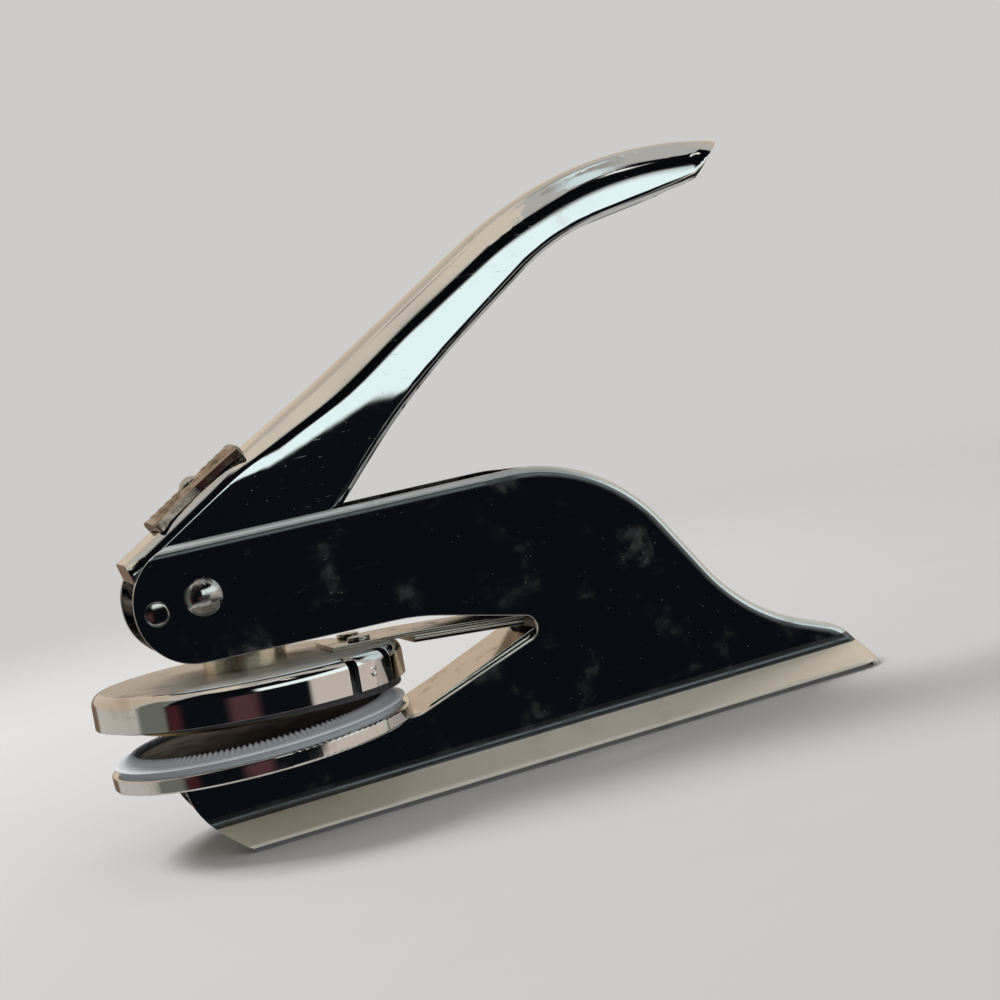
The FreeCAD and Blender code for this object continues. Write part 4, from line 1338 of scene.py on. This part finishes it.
@dataclass
class Studio:
    """Pale floor, soft lamps, plain backdrop, and a dome that only the metal mirrors."""

    backdrop: str = "cdccca"
    floor: str = "b6b5b4"
    floor_grain: str = "b3b2b2"
    # In metres: half the board, and where it fades out in front and all round.
    floor_size: float = 0.9
    front_fade: Point = (-0.36, -0.22)
    round_fade: Point = (0.22, 0.6)
    # Name, place and size in metres, and power in watts.
    lamps: tuple = (("key_softbox", (-0.42, 0.42, 0.75), 0.34, 9.0),
                    ("fill_softbox", (0.3, -0.9, 0.5), 0.7, 2.0))
    aim: Point3 = (0.0, 0.0, 0.03)
    # The camera's place in millimetres from the die axis, and its angles in radians.
    camera_spot: Point3 = (-45.1, -329.7, 66.1)
    camera_turn: float = -0.28622669
    camera_dip: float = 0.06000209
    camera_roll: float = 0.23443315
    focal_length: float = 68.4
    dome_radius: float = 2.5
    dome_base: str = "cfc9c1"
    panels: tuple[Panel, ...] = (
        Panel(0, 180, -95, -8, "cfcbc5", 1.0, 6),
        Panel(180, 75, 4, 66, "d8c6b2"),
        Panel(170, 36, -20, 4, "7a6656"),
        Panel(128, 24, 45, 66, "d6ccc0"),
        Panel(-85, 13, -30, 48, "787a71", 1.0, 3),
        Panel(-38, 34, -12, 71, "101216", 1.0, 3),
        Panel(-19.5, 53.5, -25, 11.5, "101419", 1.0, 2.5),
        Panel(-16, 10, -16, 3, "5a3c3f", 1.0, 5),
        Panel(-67, 5, -20, 8, "4a2629"),
        Panel(78, 42, -37, -16, "14161a", 1.0, 3),
        Panel(72, 38, -14, 12, "e0d2c8", 1.0, 3),
        Panel(42, 45, 11.5, 36, "eefbfa", 1.4, 2.5),
        Panel(22, 58, 37, 71, "0c0d10", 1.0, 2.5),
        Panel(45, 6, 60, 67, "f6efe6", 1.6, 2),
        Panel(-100, 80, 73, 92, "e6d4c0", 1.15, 3),
        Panel(110, 60, 72, 92, "b5ada2", 1.0, 3),
        Panel(66, 20, 73, 83, "e2f0ee", 1.2, 3),
    )

    def glow(self, direction: Vector) -> tuple[float, float, float, float]:
        """Colour of the dome in one direction.

        Args:
            direction: unit vector from the middle of the dome.

        Returns:
            Linear RGBA.
        """
        azimuth = math.degrees(math.atan2(direction.x, -direction.y))
        elevation = math.degrees(math.asin(max(-1.0, min(1.0, direction.z))))
        shade = Vector(linear(self.dome_base)[:3])
        for panel in self.panels:
            cover = panel.cover(azimuth, elevation)
            shade = shade.lerp(Vector(linear(panel.colour, panel.gain)[:3]), cover)
        return (*shade, 1.0)

    def build(self) -> None:
        """Make the floor, the dome, the lamps, the world and the camera."""
        self._world()
        self._floor()
        self._dome()
        self._lamps()
        self._camera()
        bpy.context.scene.view_settings.view_transform = "Standard"

    def _world(self) -> None:
        """Plain pale backdrop."""
        world = bpy.data.worlds.new("backdrop")
        world.use_nodes = True
        feed(world.node_tree.nodes["Background"],
             {"Color": linear(self.backdrop), "Strength": 1.0})
        bpy.context.scene.world = world

    def _floor(self) -> None:
        """Painted board that fades into the backdrop before its edge."""
        mesh = bmesh.new()
        bmesh.ops.create_grid(mesh, x_segments=8, y_segments=8, size=self.floor_size)
        material, add, shader, place = new_material("painted_board")
        grain = add("TexNoise", {"Vector": place, "Scale": per_mm(30.0), "Detail": 5.0})
        shade = add("Mix", {
            0: grain, 6: linear(self.floor), 7: linear(self.floor_grain)}, data_type="RGBA")
        feed(shader, {"Base Color": shade.outputs[2], "Roughness": 0.9,
                      "Specular IOR Level": 0.1})
        split = add("SeparateXYZ", {"Vector": place})
        front = add("MapRange", {
            "Value": split.outputs["Y"], "From Min": self.front_fade[0],
            "From Max": self.front_fade[1]}, **SMOOTH)
        reach = add("VectorMath", {0: place}, operation="LENGTH")
        rim = add("MapRange", {
            "Value": reach.outputs["Value"], "From Min": self.round_fade[0],
            "From Max": self.round_fade[1], "To Min": 1.0, "To Max": 0.0}, **SMOOTH)
        solid = add("Math", {0: front, 1: rim}, operation="MULTIPLY")
        clear = add("BsdfTransparent")
        mixed = add("MixShader", {0: solid, 1: clear, 2: shader})
        feed(material.node_tree.nodes["Material Output"], {"Surface": mixed})
        board = new_object("floor_board", mesh, [material])
        board.visible_glossy = False

    def _dome(self) -> None:
        """Painted dome of soft panels that only glossy rays see."""
        mesh = bmesh.new()
        bmesh.ops.create_uvsphere(mesh, u_segments=240, v_segments=150, radius=self.dome_radius)
        bmesh.ops.reverse_faces(mesh, faces=mesh.faces)
        layer = mesh.verts.layers.float_color.new("glow")
        for vert in mesh.verts:
            vert[layer] = self.glow(vert.co.normalized())
        material, add, *_ = new_material("painted_dome")
        material.node_tree.nodes.clear()
        paint = add("Attribute", attribute_name="glow")
        light = add("Emission", {"Color": paint})
        add("OutputMaterial", {"Surface": light})
        dome = new_object("reflection_dome", mesh, [material])
        for ray in ("camera", "diffuse", "shadow", "transmission"):
            setattr(dome, f"visible_{ray}", False)

    def _lamps(self) -> None:
        """Soft key from behind and above, and a weak fill from the front."""
        for name, place, size, power in self.lamps:
            lamp = bpy.data.lights.new(name, "AREA")
            lamp.shape = "SQUARE"
            lamp.size = size
            lamp.energy = power
            item = link(name, lamp)
            item.location = place
            aim = Vector(self.aim) - Vector(place)
            item.rotation_euler = aim.to_track_quat("-Z", "Y").to_euler()
            item.visible_glossy = False

    def _camera(self) -> None:
        """Camera a third of a metre in front, past the nose, turned back to the lever."""
        camera = bpy.data.cameras.new("camera")
        camera.lens = self.focal_length
        camera.sensor_width = 36.0
        camera.clip_start = 0.01
        item = link("camera", camera)
        item.matrix_world = (Matrix.Translation(at(*self.camera_spot))
                             @ Matrix.Rotation(self.camera_turn, 4, "Z")
                             @ Matrix.Rotation(math.radians(90) - self.camera_dip, 4, "X")
                             @ Matrix.Rotation(-self.camera_roll, 4, "Z"))
        bpy.context.scene.camera = item


# ---- Main


def main() -> None:
    """Build every piece and the studio."""
    logging.basicConfig(level=logging.INFO, format="%(name)s: %(message)s")
    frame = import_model()
    shop = Workshop(frame)
    for part in (FrameShell(shop), LeverShell(shop), Pins(shop), ToothedRing(shop), Cap(shop),
                 Badge(shop), SpringLeaves(shop), SmallParts(shop)):
        before = len(shop.made)
        part.build()
        for name in shop.made[before:]:
            LOG.info("%s made %s", type(part).__name__, name)
    Studio().build()


if __name__ == "__main__":
    main()
